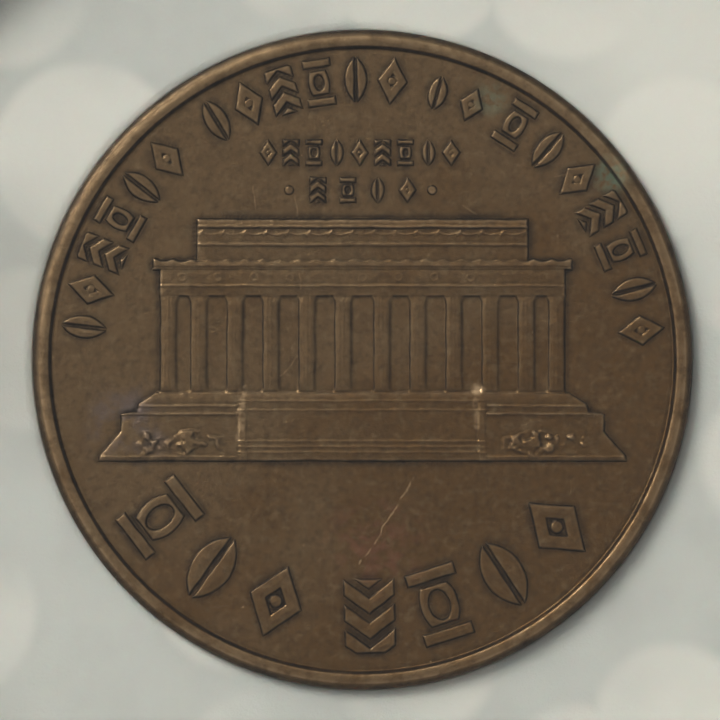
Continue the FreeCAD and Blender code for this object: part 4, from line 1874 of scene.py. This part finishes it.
    def matt(self, name: str, look: Matt) -> Material:
        """A plain finish with soft uneven tone and a fine grain.

        Args:
            name: The material's name.
            look: Its tones and grain.

        Returns:
            The material.
        """
        material, graph, shader = self.start(name)
        place = graph.place()
        tone = Patch(look.grain_scale * look.tone_scale_share, 0.35, 0.65)
        grain = self.patch(graph, place, Patch(look.grain_scale, detail=5.0))
        colour = graph.mix(self.patch(graph, place, tone), look.tone, look.other)
        graph.feed(shader.inputs["Base Color"], colour)
        ends = look.roughness - look.smoother, look.roughness + look.rougher
        graph.feed(shader.inputs["Roughness"], graph.span(grain, 0, 1, *ends))
        graph.feed(shader.inputs["Normal"], graph.bump(grain, look.grain_depth))
        return material

    def seal_foil(self, look: Foil) -> Material:
        """Bright foil whose colour runs through soft hues from place to place.

        Args:
            look: Its hues and polish.

        Returns:
            The material.
        """
        material, graph, shader = self.start("seal_foil")
        place = graph.place()
        hue = self.patch(graph, place, look.runs)
        first, second, third = look.hues
        colour = graph.mix(graph.span(hue, 0.0, 0.5), first, second)
        colour = graph.mix(graph.span(hue, 0.5, 1.0), colour, third)
        graph.feed(shader.inputs["Base Color"], colour)
        shader.inputs["Metallic"].default_value = 1.0
        rough = graph.span(self.patch(graph, place, look.polish), 0, 1, *look.roughness)
        graph.feed(shader.inputs["Roughness"], rough)
        return material


# ---- the studio ------------------------------------------------------------------------------


@dataclass
class Lamp:
    """A soft square light: which way it lies from the coin, how far, how big, how strong."""

    name: str
    towards: Point
    distance: float
    size: float
    power: float
    colour: Colour = (1.0, 1.0, 1.0)

    def build(self, target: Vector) -> bpy.types.Object:
        """Make the light, aimed at the target.

        Args:
            target: What it shines at.

        Returns:
            The light.
        """
        data = bpy.data.lights.new(self.name, "AREA")
        data.size, data.energy, data.color = self.size, self.power, self.colour
        lamp = bpy.data.objects.new(self.name, data)
        direction = Vector(self.towards).normalized()
        lamp.location = target + direction * self.distance
        lamp.rotation_euler = direction.to_track_quat("Z", "Y").to_euler()
        bpy.context.scene.collection.objects.link(lamp)
        return lamp


@dataclass
class Studio:
    """A pale floor, soft light from the upper left, and a camera straight over the coin."""

    target: Vector
    view_width: float = 0.0209
    camera_distance: float = 0.15
    camera_side: float = -0.00007
    floor_size: float = 3.0
    world: float = 0.30
    lamps: tuple[Lamp, ...] = (
        Lamp("key_light", (-0.62, 0.58, 0.80), 0.9, 0.30, 4.6, (1.0, 0.97, 0.93)),
        Lamp("fill_light", (0.70, -0.30, 0.9), 1.1, 0.8, 1.0, (0.94, 0.97, 1.0)),
    )

    def build(self, floor_material: Material) -> None:
        """Make the floor, the lights, the pale surroundings and the camera.

        Args:
            floor_material: The floor's finish.
        """
        scene = bpy.context.scene
        scene.view_settings.view_transform = "Standard"
        lights = [lamp.build(self.target) for lamp in self.lamps]
        self.floor(floor_material)
        self.camera()
        world = scene.world or bpy.data.worlds.new("studio")
        scene.world = world
        world.use_nodes = True
        background = world.node_tree.nodes["Background"]
        background.inputs["Color"].default_value = (1.0, 0.99, 0.97, 1.0)
        background.inputs["Strength"].default_value = self.world

    def floor(self, material: Material) -> bpy.types.Object:
        """One large level sheet that the slab lies on.

        Args:
            material: Its finish.

        Returns:
            The sheet.
        """
        half = self.floor_size / MM / 2
        line = np.linspace(-half, half, 9)
        x, y = np.meshgrid(line, line)
        points = np.stack([x, y, 0 * x], axis=-1).reshape(-1, 3)
        sheet = Surface(points, grid_quads(9, 9))
        return make_object("studio_floor", sheet, Seat((0.0, 0.0, 0.0)), material)

    def camera(self) -> bpy.types.Object:
        """A long lens straight over the coin, with the top of the slab upwards.

        Returns:
            The camera.
        """
        data = bpy.data.cameras.new("camera")
        data.lens = data.sensor_width * self.camera_distance / self.view_width
        data.clip_start = 0.01
        camera = bpy.data.objects.new("camera", data)
        camera.location = self.target + Vector((self.camera_side, 0, self.camera_distance))
        bpy.context.scene.collection.objects.link(camera)
        bpy.context.scene.camera = camera
        return camera


# ---- the slab --------------------------------------------------------------------------------


def node_middle(node: str) -> Point:
    """The middle of a CAD node's box, in metres."""
    low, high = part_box(node)
    return tuple((low + high) / 2)


def node_half(node: str) -> Vector:
    """Half of the size of a CAD node's box, in millimetres."""
    low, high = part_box(node)
    return (high - low) / 2 / MM


def give_finish(node: str, material: Material) -> None:
    """Give a CAD node its finish, in every material slot that it has.

    Args:
        node: The node's name.
        material: Its finish.
    """
    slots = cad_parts[node].material_slots
    for each in slots:
        each.material = material
    log.info("%s: finish %s", node, material.name)


@dataclass
class Slab:
    """The whole slab: the CAD case and core with their finishes, and what is made for them."""

    finishes: Finishes

    def build(self) -> None:
        """Finish the case, and make the coin, its gasket, the print and the seal."""
        looks = self.finishes
        for node, material in (
            ("front_shell", looks.clear),
            ("back_shell", looks.clear),
            ("front_label", looks.card),
            ("back_label", looks.card),
        ):
            give_finish(node, material)
        Core("core_insert").build(looks.core)
        half = node_half("coin")
        coin = Coin(radius=half.x, half_thickness=half.z, middle=node_middle("coin"))
        coin.build(looks.coin)
        ring = node_half("coin_gasket")
        Gasket(ring.x, ring.z, node_middle("coin_gasket"), half.x).build(looks.gasket)
        self.print_label("front_label", Side.FRONT, 3)
        self.print_label("back_label", Side.BACK, 8)
        foil = node_half("hologram_seal")
        Seal(foil.x, foil.z, node_middle("hologram_seal")).build(looks.foil)

    def print_label(self, node: str, side: Side, seed: int) -> None:
        """Print on the outer face of one card.

        Args:
            node: The card's name.
            side: The side that it faces.
            seed: What its lines of print are drawn from.
        """
        half = node_half(node)
        middle = Vector(node_middle(node))
        middle.z += side.value * half.z * MM
        label = Label(node, half.x, half.y, tuple(middle), side, seed=seed)
        label.build(self.finishes.dark_ink, self.finishes.tint_ink)


def main() -> None:
    """Build the slab and its studio."""
    logging.basicConfig(level=logging.INFO, format="%(name)s: %(message)s")
    coin_middle = node_middle("coin")
    finishes = Finishes(coin_middle)
    Slab(finishes).build()
    Studio(Vector(coin_middle)).build(finishes.floor)


if __name__ == "__main__":
    main()
